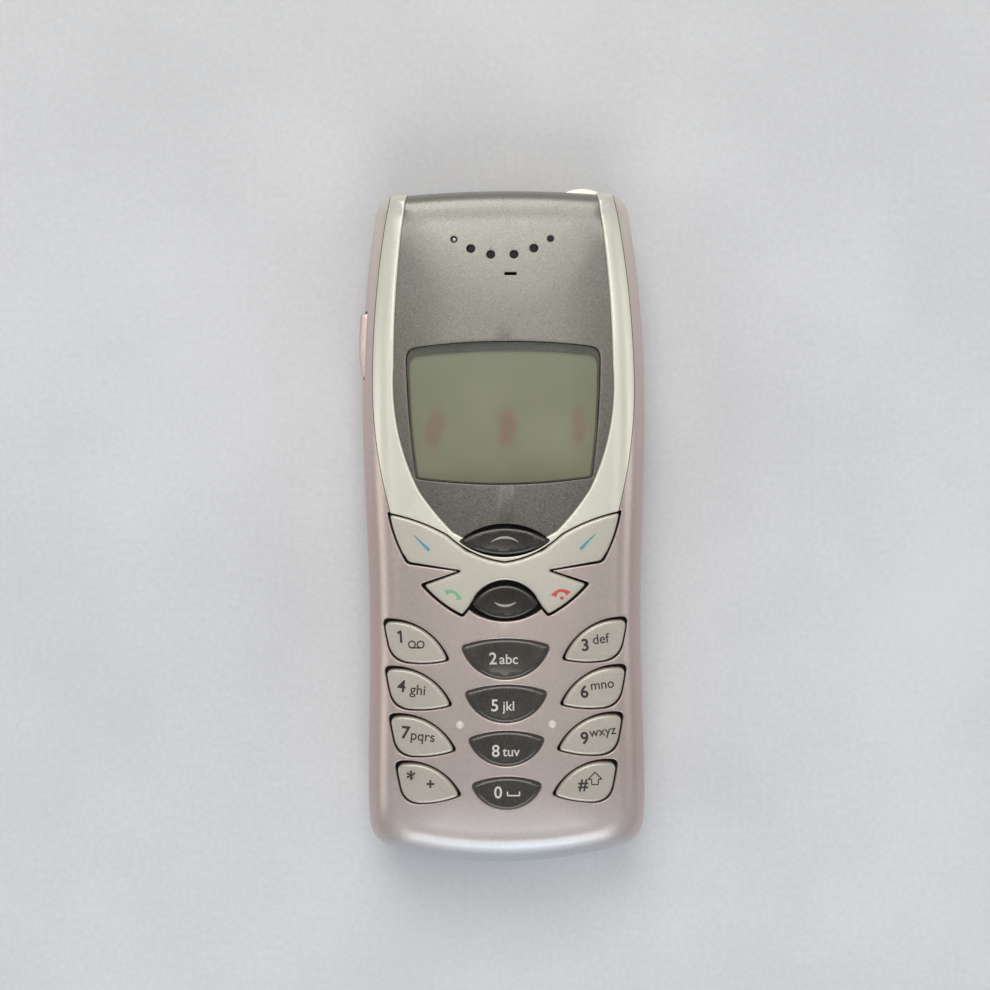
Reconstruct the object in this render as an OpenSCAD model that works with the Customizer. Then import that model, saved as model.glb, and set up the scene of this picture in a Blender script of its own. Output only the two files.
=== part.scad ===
// Compact candybar mobile phone, lying on its back: X is width, +Y points to the earpiece end,
// Z rises through the front face, and the back cover rests on z = 0. All sizes in mm.

/* [Body] */
// Overall length of the body
body_l = 102.4; // [99:1:112]
// Greatest width of the body, near the display
body_w = 43.2; // [42.6:0.2:48]
// Width at the waist, by the digit keys
waist_w = 41.4; // [41:0.2:45]
// Width near the bottom end
foot_w = 42.2; // [41.4:0.2:46]
// Height of the front face above the resting surface
body_t = 17.5; // [17.5:0.25:20]
// Wall of the two covers
wall = 1.4; // [1.2:0.1:1.5]
// Radius of the rounding between side wall and front face
edge_r = 4.7; // [4:0.1:5.2]

/* [Front face] */
// Thickness of the bonded window panel and bezel
panel_t = 0.7; // [0.5:0.05:0.8]
// Radius of the larger earpiece holes
ear_hole_r = 0.63; // [0.4:0.05:0.8]
// Spacing of the digit key rows
row_pitch = 7.15; // [7:0.05:7.3]
// Gap around each key
key_gap = 0.28; // [0.22:0.02:0.34]
// Height of the keys above the cover beside them
key_proud = 0.45; // [0.2:0.05:0.8]
// Travel of a key
key_travel = 0.4; // [0.25:0.05:0.4]

/* [Inside] */
// Width of the battery
battery_w = 33.8; // [28:0.2:34]
// Length of the battery
battery_l = 49.5; // [40:0.5:50]
// Thickness of the battery
battery_t = 5.1; // [4:0.1:5.2]
// Radius of the charger socket
socket_r = 1.75; // [1.5:0.05:1.8]
// Radius of the pin in the charger socket
charger_pin_r = 0.55; // [0.4:0.05:0.65]

/* [Hidden] */
$fn = 48;
body_hw = body_w / 2;
waist_hw = waist_w / 2;
foot_hw = foot_w / 2;
y_top = body_l / 2;
y_bot = -body_l / 2;
y_wide = y_top - 32.2;
y_waist = -15;
y_foot = y_bot + 11.2;
side_r = 178;
foot_side_r = 60;
top_r = 170;
bottom_r = 66;
corner = 3.2;
part_z = 7.5;
crown = 1.0;
crown_run = 14;
face_edge_z = body_t - crown;
round_z = face_edge_z - edge_r;
join_gap = 0.1;
recess_z = body_t - 6.2;

// inner layers
board_z = body_t - 6.1;
board_t = 0.9;
board_top = board_z + board_t;
mat_z = board_top + 0.8;
mat_t = 0.5;
mat_top = mat_z + mat_t;
flange_z = mat_top + 0.8;
flange_t = 0.5;
plate_z = 7.2;
plate_t = 1.0;
split_y = y_top - 5.2;
// reach of the cuts through the front face
cut_low = body_t - 5.5;
cut_high = body_t + 2.5;
// beyond every outline
far = 200;
bay_y0 = y_bot + 6.7;
bay_y1 = bay_y0 + battery_l;
notch_y = y_top - 9.7;
key_h = row_pitch / 7.15;
inner_hw = waist_hw - 1.5;
rail_hw = inner_hw - 1.0;

// ---- plane curves -------------------------------------------------------------------------
// Point at fraction t of the arc from p to q whose sagitta is s, bulging to the right of travel
function arc_at(p, q, s, t) =
  abs(s) < 0.01 ? p + (q - p) * t :
  let (d = q - p, h = norm(d) / 2, u = d / (2 * h), n = [u[1], -u[0]], g = sign(s))
  let (r = (h * h + s * s) / (2 * abs(s)), c = (p + q) / 2 - n * g * (r - abs(s)))
  let (half = 2 * atan2(abs(s), h), a = half * (2 * t - 1))
  c + (n * g * cos(a) + u * sin(a)) * r;

function bend(a, c, b, k) =
  [for (i = [1:k - 1]) let (t = i / k) a * (1 - t) * (1 - t) + c * 2 * t * (1 - t) + b * t * t];

// Closed outline: vertices v, sagitta s of each edge, trim r of each corner
function outline(v, s, r, n = 8, k = 4) =
  let (m = len(v))
  [for (i = [0:m - 1])
    let (p = v[i], j = (i + 1) % m, q = v[j], w = v[(i + 2) % m])
    let (l = norm(q - p), l2 = norm(w - q), t0 = r[i] / l, t1 = 1 - r[j] / l)
    let (cuts = abs(s[i]) < 0.01 ? 1 : n, last = r[j] > 0 ? cuts : cuts - 1)
    let (side = [for (e = [0:last]) arc_at(p, q, s[i], t0 + (t1 - t0) * e / cuts)])
    let (a = arc_at(p, q, s[i], t1), b = arc_at(q, w, s[j], r[j] / l2))
    each concat(side, r[j] > 0 ? bend(a, q, b, k) : [])];

// The same shape moved inward by d (outward when d is negative): each edge's vertices shift
// along the bisector of their two chords
function inward(p, q) = let (u = (q - p) / norm(q - p)) [-u[1], u[0]];
function shift_in(v, d) =
  let (m = len(v))
  [for (i = [0:m - 1])
    let (a = inward(v[(i + m - 1) % m], v[i]), b = inward(v[i], v[(i + 1) % m]))
    v[i] + (a + b) * d / max(0.35, 1 + a * b)];

module prism(points, z0, z1) {
  translate([0, 0, z0]) linear_extrude(z1 - z0) polygon(points);
}

// Box given by its limits
module slab(x0, x1, y0, y1, z0, z1) {
  translate([x0, y0, z0]) cube([x1 - x0, y1 - y0, z1 - z0]);
}

module post(x, y, z0, z1, r) {
  translate([x, y, z0]) cylinder(r = r, h = z1 - z0);
}

// ---- body surface ---------------------------------------------------------------------------
function blend(a, b, t) = (a + b) / 2 + (a - b) / 2 * cos(180 * t);
function side_x(y) =
  y > y_wide ? body_hw - (y - y_wide) * (y - y_wide) / (2 * side_r) :
  y > y_waist ? blend(body_hw, waist_hw, (y_wide - y) / (y_wide - y_waist)) :
  y > y_foot ? blend(waist_hw, foot_hw, (y_waist - y) / (y_waist - y_foot)) :
  foot_hw - (y_foot - y) * (y_foot - y) / (2 * foot_side_r);

side_cuts = 14;
end_cuts = 8;
// Ring of the body outline, inset by d
function ring(d) =
  let (xt = side_x(y_top - d - 2) - d, xb = side_x(y_bot + d + 3) - d)
  let (yt = y_top - d - xt * xt / (2 * top_r), yb = y_bot + d + xb * xb / (2 * bottom_r))
  let (ct = min(corner + 0.2 * d, xt * 0.6), cb = min(corner + 0.2 * d, xb * 0.6))
  let (right = [for (i = [0:side_cuts]) let (y = yb + cb + (yt - ct - yb - cb) * i / side_cuts)
    [side_x(y) - d, y]])
  let (top = [for (i = [0:end_cuts]) let (x = (xt - ct) * (1 - 2 * i / end_cuts))
    [x, y_top - d - x * x / (2 * top_r)]])
  let (foot = [for (i = [0:end_cuts]) let (x = (xb - cb) * (2 * i / end_cuts - 1))
    [x, y_bot + d + x * x / (2 * bottom_r)]])
  let (left = [for (i = [side_cuts:-1:0]) [-right[i][0], right[i][1]]])
  concat(right, bend(right[side_cuts], [xt, yt], top[0], 4), top,
    bend(top[end_cuts], [-xt, yt], left[0], 4), left,
    bend(left[side_cuts], [-xb, yb], foot[0], 4), foot,
    bend(foot[end_cuts], [xb, yb], right[0], 4));

// Front surface at depth t: inset and height of each ring, from the parting plane upward
face_steps = 6;
crown_steps = 4;
function front_profile(t, z0) = concat(
  [[t, z0], [t, round_z]],
  [for (i = [1:face_steps]) let (a = 90 * i / face_steps)
    [edge_r - (edge_r - t) * cos(a), round_z + (edge_r - t) * sin(a)]],
  [for (i = [1:crown_steps]) let (u = i / crown_steps)
    [edge_r + crown_run * u, face_edge_z - t + crown * (1 - (1 - u) * (1 - u))]]);

// Back surface, from the flat back upward
back_run = 5;
back_rise = 4.5;
function back_profile(t, z1) = concat(
  [for (i = [0:face_steps]) let (a = 90 - 90 * i / face_steps)
    [back_run - (back_run - t) * cos(a), back_rise - (back_rise - t) * sin(a)]],
  [[t, z1]]);

function lifted(p, z) = [for (q = p) [q[0], q[1], z]];
function flipped(l) = [for (i = [len(l) - 1:-1:0]) l[i]];

// Solid through a stack of rings given as [inset, height]
module loft(stack) {
  rows = [for (s = stack) lifted(ring(s[0]), s[1])];
  n = len(rows[0]);
  m = len(rows);
  quads = [for (k = [0:m - 2]) for (i = [0:n - 1])
    let (j = (i + 1) % n, a = k * n + i, b = k * n + j)
    each [[a, a + n, b + n], [a, b + n, b]]];
  // convex pieces across the waisted ring: strips between its sides, and its two ends
  l0 = side_cuts + end_cuts + 8;
  strips = [for (i = [0:side_cuts - 1]) [i, i + 1, l0 + side_cuts - i - 1, l0 + side_cuts - i]];
  ends = [[for (i = [side_cuts:l0]) i], concat([for (i = [l0 + side_cuts:n - 1]) i], [0])];
  low = concat(strips, ends);
  caps = concat(low, [for (f = low) [for (i = flipped(f)) (m - 1) * n + i]]);
  polyhedron([for (r = rows) each r], concat(caps, quads), convexity = 6);
}

// Skin of the front surface between two depths
module front_skin(t0, t1, z0) {
  loft(concat(flipped(front_profile(t1, z0)), front_profile(t0, z0)));
}

module front_solid(t, z0) {
  loft(front_profile(t, z0));
}

// Height of the front surface beside a point, away from the ends
function face_z(x) =
  let (d = body_hw - 0.5 - abs(x), u = min(1, max(0, (d - edge_r) / crown_run)))
  d < edge_r ? round_z + edge_r * sin(acos(1 - d / edge_r)) :
  face_edge_z + crown * (1 - (1 - u) * (1 - u));

// ---- outlines on the front face -------------------------------------------------------------
function mirrored(p) = [for (q = flipped(p)) [-q[0], q[1]]];
end_y = y_top + 2;
// Seam between front cover and bezel
seam_v = [[0, -6.6], [8.5, -2.8], [16.9, 1.2], [19.8, 20.7], [16.2, end_y],
  [-16.2, end_y], [-19.8, 20.7], [-16.9, 1.2], [-8.5, -2.8]];
seam_s = [0, 0, 0.65, 0.85, 0, 0.85, 0.65, 0, 0];
seam_r = [0, 0, 0, 0, 0, 0, 0, 0, 0];
// Edge between bezel and window panel
panel_v = [[5.5, -2.0], [7.7, -0.8], [12.75, 5.4], [16.45, 24.1], [13.8, end_y],
  [-13.8, end_y], [-16.45, 24.1], [-12.75, 5.4], [-7.7, -0.8], [-5.5, -2.0]];
panel_s = [0, 0.2, 1.3, 0.6, 0, 0.6, 1.3, 0.2, 0, 0];
panel_r = [0, 0, 0, 0, 0, 0, 0, 0, 0, 0];
// Window
window_v = [[13.2, 7.2], [14.6, 26.8], [-14.6, 26.8], [-13.2, 7.2]];
window_s = [0.35, 0.95, 0.35, 0.95];
window_r = [0.4, 1.7, 1.7, 0.4];
// Lens keys
scroll_up_v = [[-6.8, -2.2], [6.8, -2.2]];
scroll_up_s = [2.05, 2.3];
lens_gap_s = [2.4, 2.6];
scroll_down_v = [[-4.65, -11.65], [4.65, -11.65]];
scroll_down_s = [2.15, 2.75];
// Function key plate, right half from the bottom of the strip between the lens keys
plate_half_v = [[0, -8.0], [4.55, -10.4], [5.3, -11.9], [6.4, -13.2], [12.2, -8.65],
  [6.95, -6.65], [14.5, -5.3], [17.15, 1.85], [8.5, -1.4]];
plate_half_s = [-0.62, 0, 0, 0.4, 0, 0, 0.35, 0.4, -0.75];
plate_v = concat(plate_half_v, [[0, -5.43]],
  [for (i = [8:-1:1]) [-plate_half_v[i][0], plate_half_v[i][1]]]);
plate_s = concat(plate_half_s, [-0.75], [for (i = [7:-1:0]) plate_half_s[i]]);
plate_r = [0, 0.4, 0, 0.4, 0.4, 0.3, 0.6, 0.4, 0.5, 0, 0.5, 0.4, 0.6, 0.3, 0.4, 0.4, 0, 0.4];

// Digit keys: row 0 is the top row
function side_key_v(i, m) =
  let (a = [18.45 - 0.185 * i * i, -13.75 - row_pitch * i])
  let (b = [8.35 - 0.3 * i - 0.08 * i * i, -12.85 - row_pitch - (row_pitch - 0.4) * i])
  let (c = [a[0] - 1.3, a[1] - row_pitch + 0.95])
  let (v = [a, b, c])
  m > 0 ? v : mirrored(v);
function side_key_s(m) = m > 0 ? [1.95 * key_h, 0.55, 0.1] : [0.55, 1.95 * key_h, 0.1];
function side_key_r(m) = m > 0 ? [0.9, 0.5, 2.1] : [2.1, 0.5, 0.9];
function mid_key_v(i) =
  let (w = 6.6 - 0.45 * i, y = -17.9 - (row_pitch - 0.25) * i)
  [[-w, y], [w, y]];
function mid_key_s(i) = [row_pitch - 2.2 - 0.4 * i, 1.1];
mid_key_r = [0.5, 0.5];

// ---- covers -----------------------------------------------------------------------------------
module screw_places() {
  for (x = [-1, 1]) {
    translate([x * 15.2, y_top - 17.6, 0]) children();
    translate([x * 14.6, y_bot + 5.1, 0]) children();
  }
}

function ear_x(i) = [1.74, 4.72, 7.25][i];
module ear_holes(z0, z1, grow) {
  for (i = [0:2]) for (m = [-1, 1])
    post(m * ear_x(i), y_top - 10.6 + 0.047 * ear_x(i) * ear_x(i), z0, z1,
      (i < 2 ? ear_hole_r : 0.8 * ear_hole_r) + grow);
}

module key_openings() {
  for (i = [0:3]) {
    for (m = [-1, 1]) prism(outline(side_key_v(i, m), side_key_s(m), side_key_r(m)), cut_low, cut_high);
    prism(outline(mid_key_v(i), mid_key_s(i), mid_key_r), cut_low, cut_high);
  }
  prism(outline(shift_in(plate_v, -key_gap), plate_s, plate_r), cut_low, cut_high);
  prism(outline([[-6.4, -11.6], [6.4, -11.6]], [2.6, 3.6], [0, 0]), cut_low, cut_high);
}

power_x = 12.3;
power_z = board_top + 0.8;
volume_y = y_wide + 8.5;
volume_z = board_top + 0.3;
// axis of the volume key's pin
volume_x = -body_hw + 1.0;
volume_pin_r = 0.35;
volume_fit = 0.04;

module power_opening() {
  slab(power_x - 3.2, power_x + 3.2, y_top - 5.7, y_top + 2, power_z - 1.3, power_z + 1.3);
}

module front_cover() color([0.74, 0.65, 0.62]) {
  difference() {
    front_skin(0, wall, part_z);
    difference() {
      prism(outline(seam_v, seam_s, seam_r), recess_z, cut_high);
      front_solid(panel_t + 0.05, 8);
    }
    prism(outline(shift_in(window_v, 0.7), window_s, window_r), cut_low, cut_high);
    ear_holes(cut_low, cut_high, 0.15);
    key_openings();
    prism(outline(scroll_up_v, lens_gap_s, [0, 0]), cut_low, cut_high);
    // power key, volume key, infrared window and bottom connector
    power_opening();
    slab(-body_hw - 2, -body_hw + 3, volume_y - 5.2, volume_y + 5.2, volume_z - 1.5, volume_z + 1.5);
    post(volume_x, volume_y, volume_z - 1.95, volume_z, volume_pin_r + volume_fit);
    slab(-8.2, -1.8, split_y, y_top + 2, 8.3, 11.3);
    slab(-12.8, 12.8, y_bot - 2, y_bot + 3.2, 7.7, 12.4);
  }
  // screw posts under the face
  intersection() {
    difference() {
      screw_places() cylinder(r = 1.9, h = body_t);
      screw_places() translate([0, 0, -1]) cylinder(r = 0.62, h = board_top + 3.4);
      slab(-far, far, -far, far, -1, board_top);
    }
    front_solid(wall - 0.3, 8);
  }
  // locating pips beside the third row
  for (x = [-1, 1]) {
    post(x * 6.9, -29.6, face_z(6.9) - 0.6, face_z(6.9) + 0.16, 0.55);
    post(x * 6.9, -29.6, face_z(6.9) - 0.6, face_z(6.9) + 0.26, 0.3);
  }
}

module bezel_frame() color([0.88, 0.87, 0.82]) {
  intersection() {
    front_skin(0, panel_t, 10);
    difference() {
      prism(outline(shift_in(seam_v, 0.08), seam_s, seam_r), recess_z + 0.1, cut_high);
      prism(outline(panel_v, panel_s, panel_r), 10, far);
      prism(outline(shift_in(plate_v, -key_gap), plate_s, plate_r), 10, far);
      prism(outline(scroll_up_v, lens_gap_s, [0, 0]), 10, far);
      power_opening();
    }
  }
}

module window_panel() color([0.52, 0.5, 0.46]) {
  intersection() {
    front_skin(0, panel_t, 10);
    difference() {
      prism(outline(shift_in(panel_v, 0.06), panel_s, panel_r), recess_z + 0.1, cut_high);
      prism(outline(window_v, window_s, window_r), 10, far);
      prism(outline(scroll_up_v, lens_gap_s, [0, 0]), 10, far);
      ear_holes(10, far, 0);
      slab(0.3, 2.1, y_top - 13.6, y_top - 13.15, 10, far);
      power_opening();
    }
  }
}

module display_lens() color([0.5, 0.52, 0.44, 0.35]) {
  intersection() {
    front_skin(0.06, panel_t, 10);
    prism(outline(shift_in(window_v, 0.07), window_s, window_r), cut_low, cut_high);
  }
}

// ---- display module -----------------------------------------------------------------------
lcd_y0 = 5.3;
lcd_y1 = 28.9;
lcd_top = face_edge_z - 1.75;
module display_gasket() color([0.15, 0.15, 0.15]) {
  difference() {
    slab(-14.9, 14.9, lcd_y0 + 0.3, lcd_y1 - 0.3, lcd_top + 0.02, lcd_top + 0.17);
    slab(-14.1, 14.1, lcd_y0 + 1.1, lcd_y1 - 1.1, lcd_top - 1, lcd_top + 1);
  }
}

module lcd_glass() color([0.5, 0.52, 0.42]) {
  slab(-15.1, 15.1, lcd_y0, lcd_y1, lcd_top - 1.1, lcd_top);
}

module lcd_frame() color([0.82, 0.82, 0.8]) {
  difference() {
    slab(-16.4, 16.4, 3.2, 30.2, board_top + 0.02, lcd_top - 0.1);
    slab(-15.3, 15.3, 4.1, 29.1, board_top + 0.5, lcd_top + 1);
  }
}

module light_guide() color([0.9, 0.95, 0.85, 0.5]) {
  slab(-15.1, 15.1, 5.3, 28.9, board_top + 0.55, lcd_top - 1.15);
}

module backlight_leds() color([0.95, 0.95, 0.8]) {
  for (x = [-9, -3, 3, 9]) slab(x - 0.8, x + 0.8, 4.2, 5.1, board_top + 0.52, board_top + 1.15);
}

// ---- keypad -----------------------------------------------------------------------------------
function mid_y(i) = -19.4 - (row_pitch - 0.1) * i;
mat_y0 = mid_y(3) - 3.05;
function side_c(i) = [13.9 - 0.3 * i, -17.6 - (row_pitch - 0.1) * i];
module plunger_places() {
  for (i = [0:3]) {
    for (m = [-1, 1]) translate([m * side_c(i)[0], side_c(i)[1], 0]) children();
    translate([0, mid_y(i), 0]) children();
  }
  translate([0, -2.1, 0]) children();
  translate([0, -11.8, 0]) children();
}
module corner_places() {
  for (m = [-1, 1]) {
    translate([m * 13.2, -1.6, 0]) children();
    translate([m * 8.6, -9.6, 0]) children();
  }
}

module keymat() color([0.75, 0.75, 0.72]) {
  difference() {
    slab(-18.0, 18.0, mat_y0, 2.6, board_top + 0.25, mat_top);
    slab(-17.2, 17.2, mat_y0 + 0.8, 1.8, board_top, mat_z);
    plunger_places() cylinder(r = 1.5, h = 30);
  }
  corner_places() translate([0, 0, mat_z - 0.15]) cylinder(r = 1.0, h = 0.4);
}

module dome_sheet() color([0.8, 0.78, 0.7]) {
  slab(-17.0, 17.0, mat_y0 + 1.0, 1.6, board_top + 0.02, board_top + 0.14);
  plunger_places() translate([0, 0, board_top + 0.1]) cylinder(r1 = 2.2, r2 = 1.3, h = 0.3);
  corner_places() translate([0, 0, board_top + 0.1]) cylinder(r1 = 2.2, r2 = 1.3, h = 0.3);
}

// Cap of a key: its outline set in by the gap, standing on a wider flange that stays under
// the cover, with a plunger that reaches down to its dome
module key_body(points, top_z, tab, c) {
  prism(points, flange_z, top_z);
  slab(c[0] - tab[0], c[0] + tab[0], c[1] - tab[1], c[1] + tab[1], flange_z, flange_z + flange_t);
  post(c[0], c[1], board_top + 0.9, flange_z + 0.2, 1.0);
}

module side_key(i, m) color([0.75, 0.71, 0.68]) {
  c = side_c(i);
  p = outline(shift_in(side_key_v(i, m), key_gap), side_key_s(m), side_key_r(m));
  intersection() {
    key_body(p, cut_high, [2.6, 2.2], [m * c[0], c[1]]);
    // gently crowned top that follows the face
    translate([0, 0, body_t + key_proud - 150]) rotate([90, 0, 0])
      cylinder(r = 150, h = 120, center = true, $fn = 720);
  }
}

module mid_key(i) color([0.26, 0.25, 0.23]) {
  p = outline(shift_in(mid_key_v(i), key_gap), mid_key_s(i), mid_key_r);
  difference() {
    key_body(p, body_t + key_proud, [3.4, 2.2], [0, mid_y(i)]);
    // shallow bowl
    translate([0, mid_y(i), body_t + key_proud + 21.6]) sphere(r = 22, $fn = 96);
  }
}

module scroll_up_key() color([0.2, 0.19, 0.17]) {
  p = outline(shift_in(scroll_up_v, 0.1), [2.3 - key_gap, 2.3 - key_gap], [0.5, 0.5]);
  difference() {
    union() {
      prism(p, flange_z, body_t + key_proud);
      post(0, -2.1, board_top + 0.9, flange_z + 0.2, 1.0);
    }
    translate([0, -2.1, body_t + key_proud + 29.7]) sphere(r = 30, $fn = 96);
  }
}

module scroll_down_key() color([0.2, 0.19, 0.17]) {
  p = outline(scroll_down_v, scroll_down_s, [0.5, 0.5]);
  difference() {
    union() {
      prism(p, flange_z, body_t + key_proud);
      post(0, -11.8, board_top + 0.9, flange_z + 0.2, 1.0);
    }
    translate([0, -11.6, body_t + key_proud + 24.7]) sphere(r = 25, $fn = 96);
  }
}

// Rocking centre of the function keys, under the strip between the two lens keys
pad_y = -6.7;
rib_z = flange_z + 0.35;
module function_key_pad() color([0.6, 0.6, 0.58]) {
  difference() {
    union() {
      slab(-2.6, 2.6, pad_y - 1.1, pad_y + 1.1, mat_top + 0.25, rib_z);
      // rounded foot on which the keys tilt
      translate([0, pad_y, mat_top + 0.25]) rotate([0, 90, 0]) cylinder(r = 0.22, h = 5.2, center = true);
    }
    translate([0, pad_y, rib_z + 0.1]) rotate([90, 0, 0]) cylinder(r = 0.4, h = 4, center = true);
  }
}

module function_key_plate() color([0.8, 0.77, 0.72]) {
  intersection() {
    prism(outline(plate_v, plate_s, plate_r), rib_z + 0.35, cut_high);
    translate([0, 0, body_t + key_proud - 131]) rotate([90, 0, 0])
      cylinder(r = 131, h = 60, center = true, $fn = 720);
  }
  // pivot rib
  translate([0, pad_y, rib_z + 0.1]) rotate([90, 0, 0]) cylinder(r = 0.33, h = 1.8, center = true);
  slab(-0.2, 0.2, pad_y - 0.9, pad_y + 0.9, rib_z + 0.1, rib_z + 0.6);
  // actuators over the four domes
  corner_places() translate([0, 0, mat_top + 0.9]) cylinder(r = 0.8, h = rib_z - mat_top);
}

// ---- board and its parts --------------------------------------------------------------------
// clearance between the covers' walls and what is inside them
inside_gap = 0.4;
module main_board() color([0.1, 0.35, 0.2]) {
  difference() {
    intersection() {
      slab(-18.5, 18.5, y_bot + 4, y_top - 4.8, board_z, board_top);
      prism(ring(wall + inside_gap), board_z - 1, board_top + 1);
    }
    slab(-13.2, 13.2, y_bot, y_bot + 9.6, board_z - 1, board_top + 1);
    screw_places() translate([0, 0, board_z - 1]) cylinder(r = 0.8, h = 4);
  }
}

module shield_can(x0, x1, y0, y1) {
  difference() {
    slab(x0, x1, y0, y1, board_z - 2.4, board_z - 0.02);
    slab(x0 + 0.3, x1 - 0.3, y0 + 0.3, y1 - 0.3, board_z - 2.1, board_z + 1);
  }
}
module board_shields() color([0.8, 0.8, 0.82]) {
  shield_can(-17, 17, -38, -14);
  shield_can(-17, 2, -12, 12);
  shield_can(4, 17, -12, 12);
}

module earpiece_speaker() color([0.3, 0.3, 0.32]) {
  difference() {
    post(0, y_top - 12.8, board_top + 0.02, board_top + 2.3, 5.6);
    post(0, y_top - 12.8, board_top + 1.9, board_top + 3, 4.2);
  }
}

module earpiece_gasket() color([0.12, 0.12, 0.12]) {
  difference() {
    post(0, y_top - 12.8, board_top + 2.35, board_top + 2.9, 5.5);
    post(0, y_top - 12.8, board_top + 2, board_top + 4, 4.3);
  }
}

module ringer_buzzer() color([0.15, 0.15, 0.17]) {
  difference() {
    slab(-15.5, -6.5, 16, 25, board_z - 2.6, board_z - 0.02);
    post(-11, 20.5, board_z - 3, board_z - 2.2, 1.0);
  }
}

module backup_cell() color([0.82, 0.82, 0.85]) {
  post(10, 20.5, board_z - 1.8, board_z - 0.02, 3.4);
}

module microphone() color([0.7, 0.7, 0.72]) {
  difference() {
    translate([-9.5, y_bot + 7, 10.1]) rotate([90, 0, 0]) cylinder(r = 1.5, h = 2.6);
    translate([-9.5, y_bot + 4.7, 10.1]) rotate([90, 0, 0]) cylinder(r = 0.5, h = 0.4);
  }
}

module microphone_boot() color([0.1, 0.1, 0.1]) {
  difference() {
    slab(-11.6, -7.4, y_bot + 4, y_bot + 6.8, 8.1, 12.0);
    translate([-9.5, y_bot + 8.2, 10.1]) rotate([90, 0, 0]) cylinder(r = 1.55, h = 4);
    translate([-9.5, y_bot + 4.7, 10.1]) rotate([90, 0, 0]) cylinder(r = 0.7, h = 2);
  }
}

conn_y0 = y_bot + 0.75;
socket_z = 10;
module bottom_connector() color([0.12, 0.12, 0.13]) {
  difference() {
    union() {
      slab(-7.2, 12.5, conn_y0 + 1, y_bot + 9, 7.8, 12.2);
      slab(-12.5, -7.2, conn_y0 + 1, y_bot + 3.8, 7.8, 12.2);
      slab(-3, 3, conn_y0, conn_y0 + 2, 7.8, 12.2);
    }
    translate([0, conn_y0 - 1, socket_z]) rotate([-90, 0, 0]) cylinder(r = socket_r, h = 6.5);
    // contact field and microphone port
    slab(5.2, 11.6, conn_y0 - 1, conn_y0 + 3.2, 9.1, 11.1);
    slab(-10.3, -8.7, conn_y0 - 1, conn_y0 + 5, 9.8, 10.4);
  }
}

module connector_contacts() color([0.85, 0.7, 0.35]) {
  for (i = [0:5]) slab(5.7 + i, 6.1 + i, conn_y0 + 1.4, conn_y0 + 3.15, 9.15, 9.4);
}

module charger_pin() color([0.85, 0.85, 0.86]) {
  translate([0, conn_y0 + 1.6, socket_z]) rotate([-90, 0, 0]) cylinder(r = charger_pin_r, h = 3.9);
}

// ---- chassis and the back compartment ---------------------------------------------------------
module chassis() color([0.35, 0.35, 0.36]) {
  end_y1 = y_top - 5.6;
  difference() {
    union() {
      intersection() {
        slab(-18.6, 18.6, y_bot + 3.6, end_y1, plate_z, plate_z + plate_t);
        prism(ring(wall + inside_gap), plate_z - 1, plate_z + plate_t + 1);
      }
      for (m = [-1, 1])
        slab(min(m * rail_hw, m * (rail_hw - 0.8)), max(m * rail_hw, m * (rail_hw - 0.8)),
          y_bot + 6.2, end_y1, 2.5, plate_z + 0.1);
      slab(-rail_hw, rail_hw, y_top - 9.6, end_y1, 2.5, plate_z + 0.1);
      slab(-inner_hw + 1.9, inner_hw - 1.9, y_top - 9.6, end_y1, 1.7, 2.6);
      slab(-7, -5.4, bay_y1 + 1.2, bay_y1 + 4.6, 2.5, plate_z + 0.1);
      slab(5.4, 7, bay_y1 + 1.2, bay_y1 + 4.6, 2.5, plate_z + 0.1);
      screw_places() translate([0, 0, part_z]) cylinder(r = 1.9, h = board_z - part_z);
    }
    slab(-13.4, 13.4, y_bot, y_bot + 9.8, plate_z - 0.02, plate_z + 3);
    screw_places() cylinder(r = 0.9, h = 20);
    screw_places() cylinder(r = 1.6, h = plate_z + 0.01);
    // pocket and guide of the release button
    slab(-6.2, 6.2, notch_y, y_top - 5.5, 1, 2.9);
    slab(-2.3, 2.3, y_top - 8.8, y_top - 6.4, 1, 5.6);
  }
}

module chassis_screws() color([0.6, 0.6, 0.62]) {
  difference() {
    screw_places() {
      translate([0, 0, plate_z - 1.0]) cylinder(r = 1.45, h = 0.98);
      translate([0, 0, plate_z - 0.1]) cylinder(r = 0.6, h = board_top + 2.4 - plate_z);
    }
    screw_places() translate([0, 0, plate_z - 1.5]) cylinder(r = 0.6, h = 1.0, $fn = 6);
  }
}

module top_cap() color([0.36, 0.36, 0.37]) {
  difference() {
    loft(back_profile(0, part_z - join_gap));
    slab(-far, far, -far, split_y + 0.3, -1, 20);
    slab(-16, 16, split_y, y_top - 2.2, 1.4, 20);
  }
  slab(-12, 12, y_top - 5.55, y_top - 1.8, 5.6, 7.0);
}

module antenna_carrier() color([0.85, 0.85, 0.82]) {
  difference() {
    slab(-rail_hw + 1.1, rail_hw - 1.1, y_top - 15.6, y_top - 9.9, 2.2, plate_z - 0.1);
    slab(-rail_hw + 2, rail_hw - 2, y_top - 14.8, y_top - 10.7, 3.2, plate_z + 1);
  }
}

module antenna_plate() color([0.8, 0.6, 0.35]) {
  difference() {
    slab(-rail_hw + 1.4, rail_hw - 1.4, y_top - 15.3, y_top - 10.1, 2.0, 2.17);
    slab(-12, 10, y_top - 13.1, y_top - 12.5, 1, 3);
    slab(9.4, 10, y_top - 14.3, y_top - 12.5, 1, 3);
  }
}

module battery() color([0.25, 0.26, 0.3]) {
  difference() {
    slab(-battery_w / 2, battery_w / 2, bay_y0, bay_y1, 1.75, 1.75 + battery_t);
    for (x = [-3, -1, 1, 3]) slab(x - 0.6, x + 0.6, bay_y1 - 0.3, bay_y1 + 15, 3, 5.4);
  }
}

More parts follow.
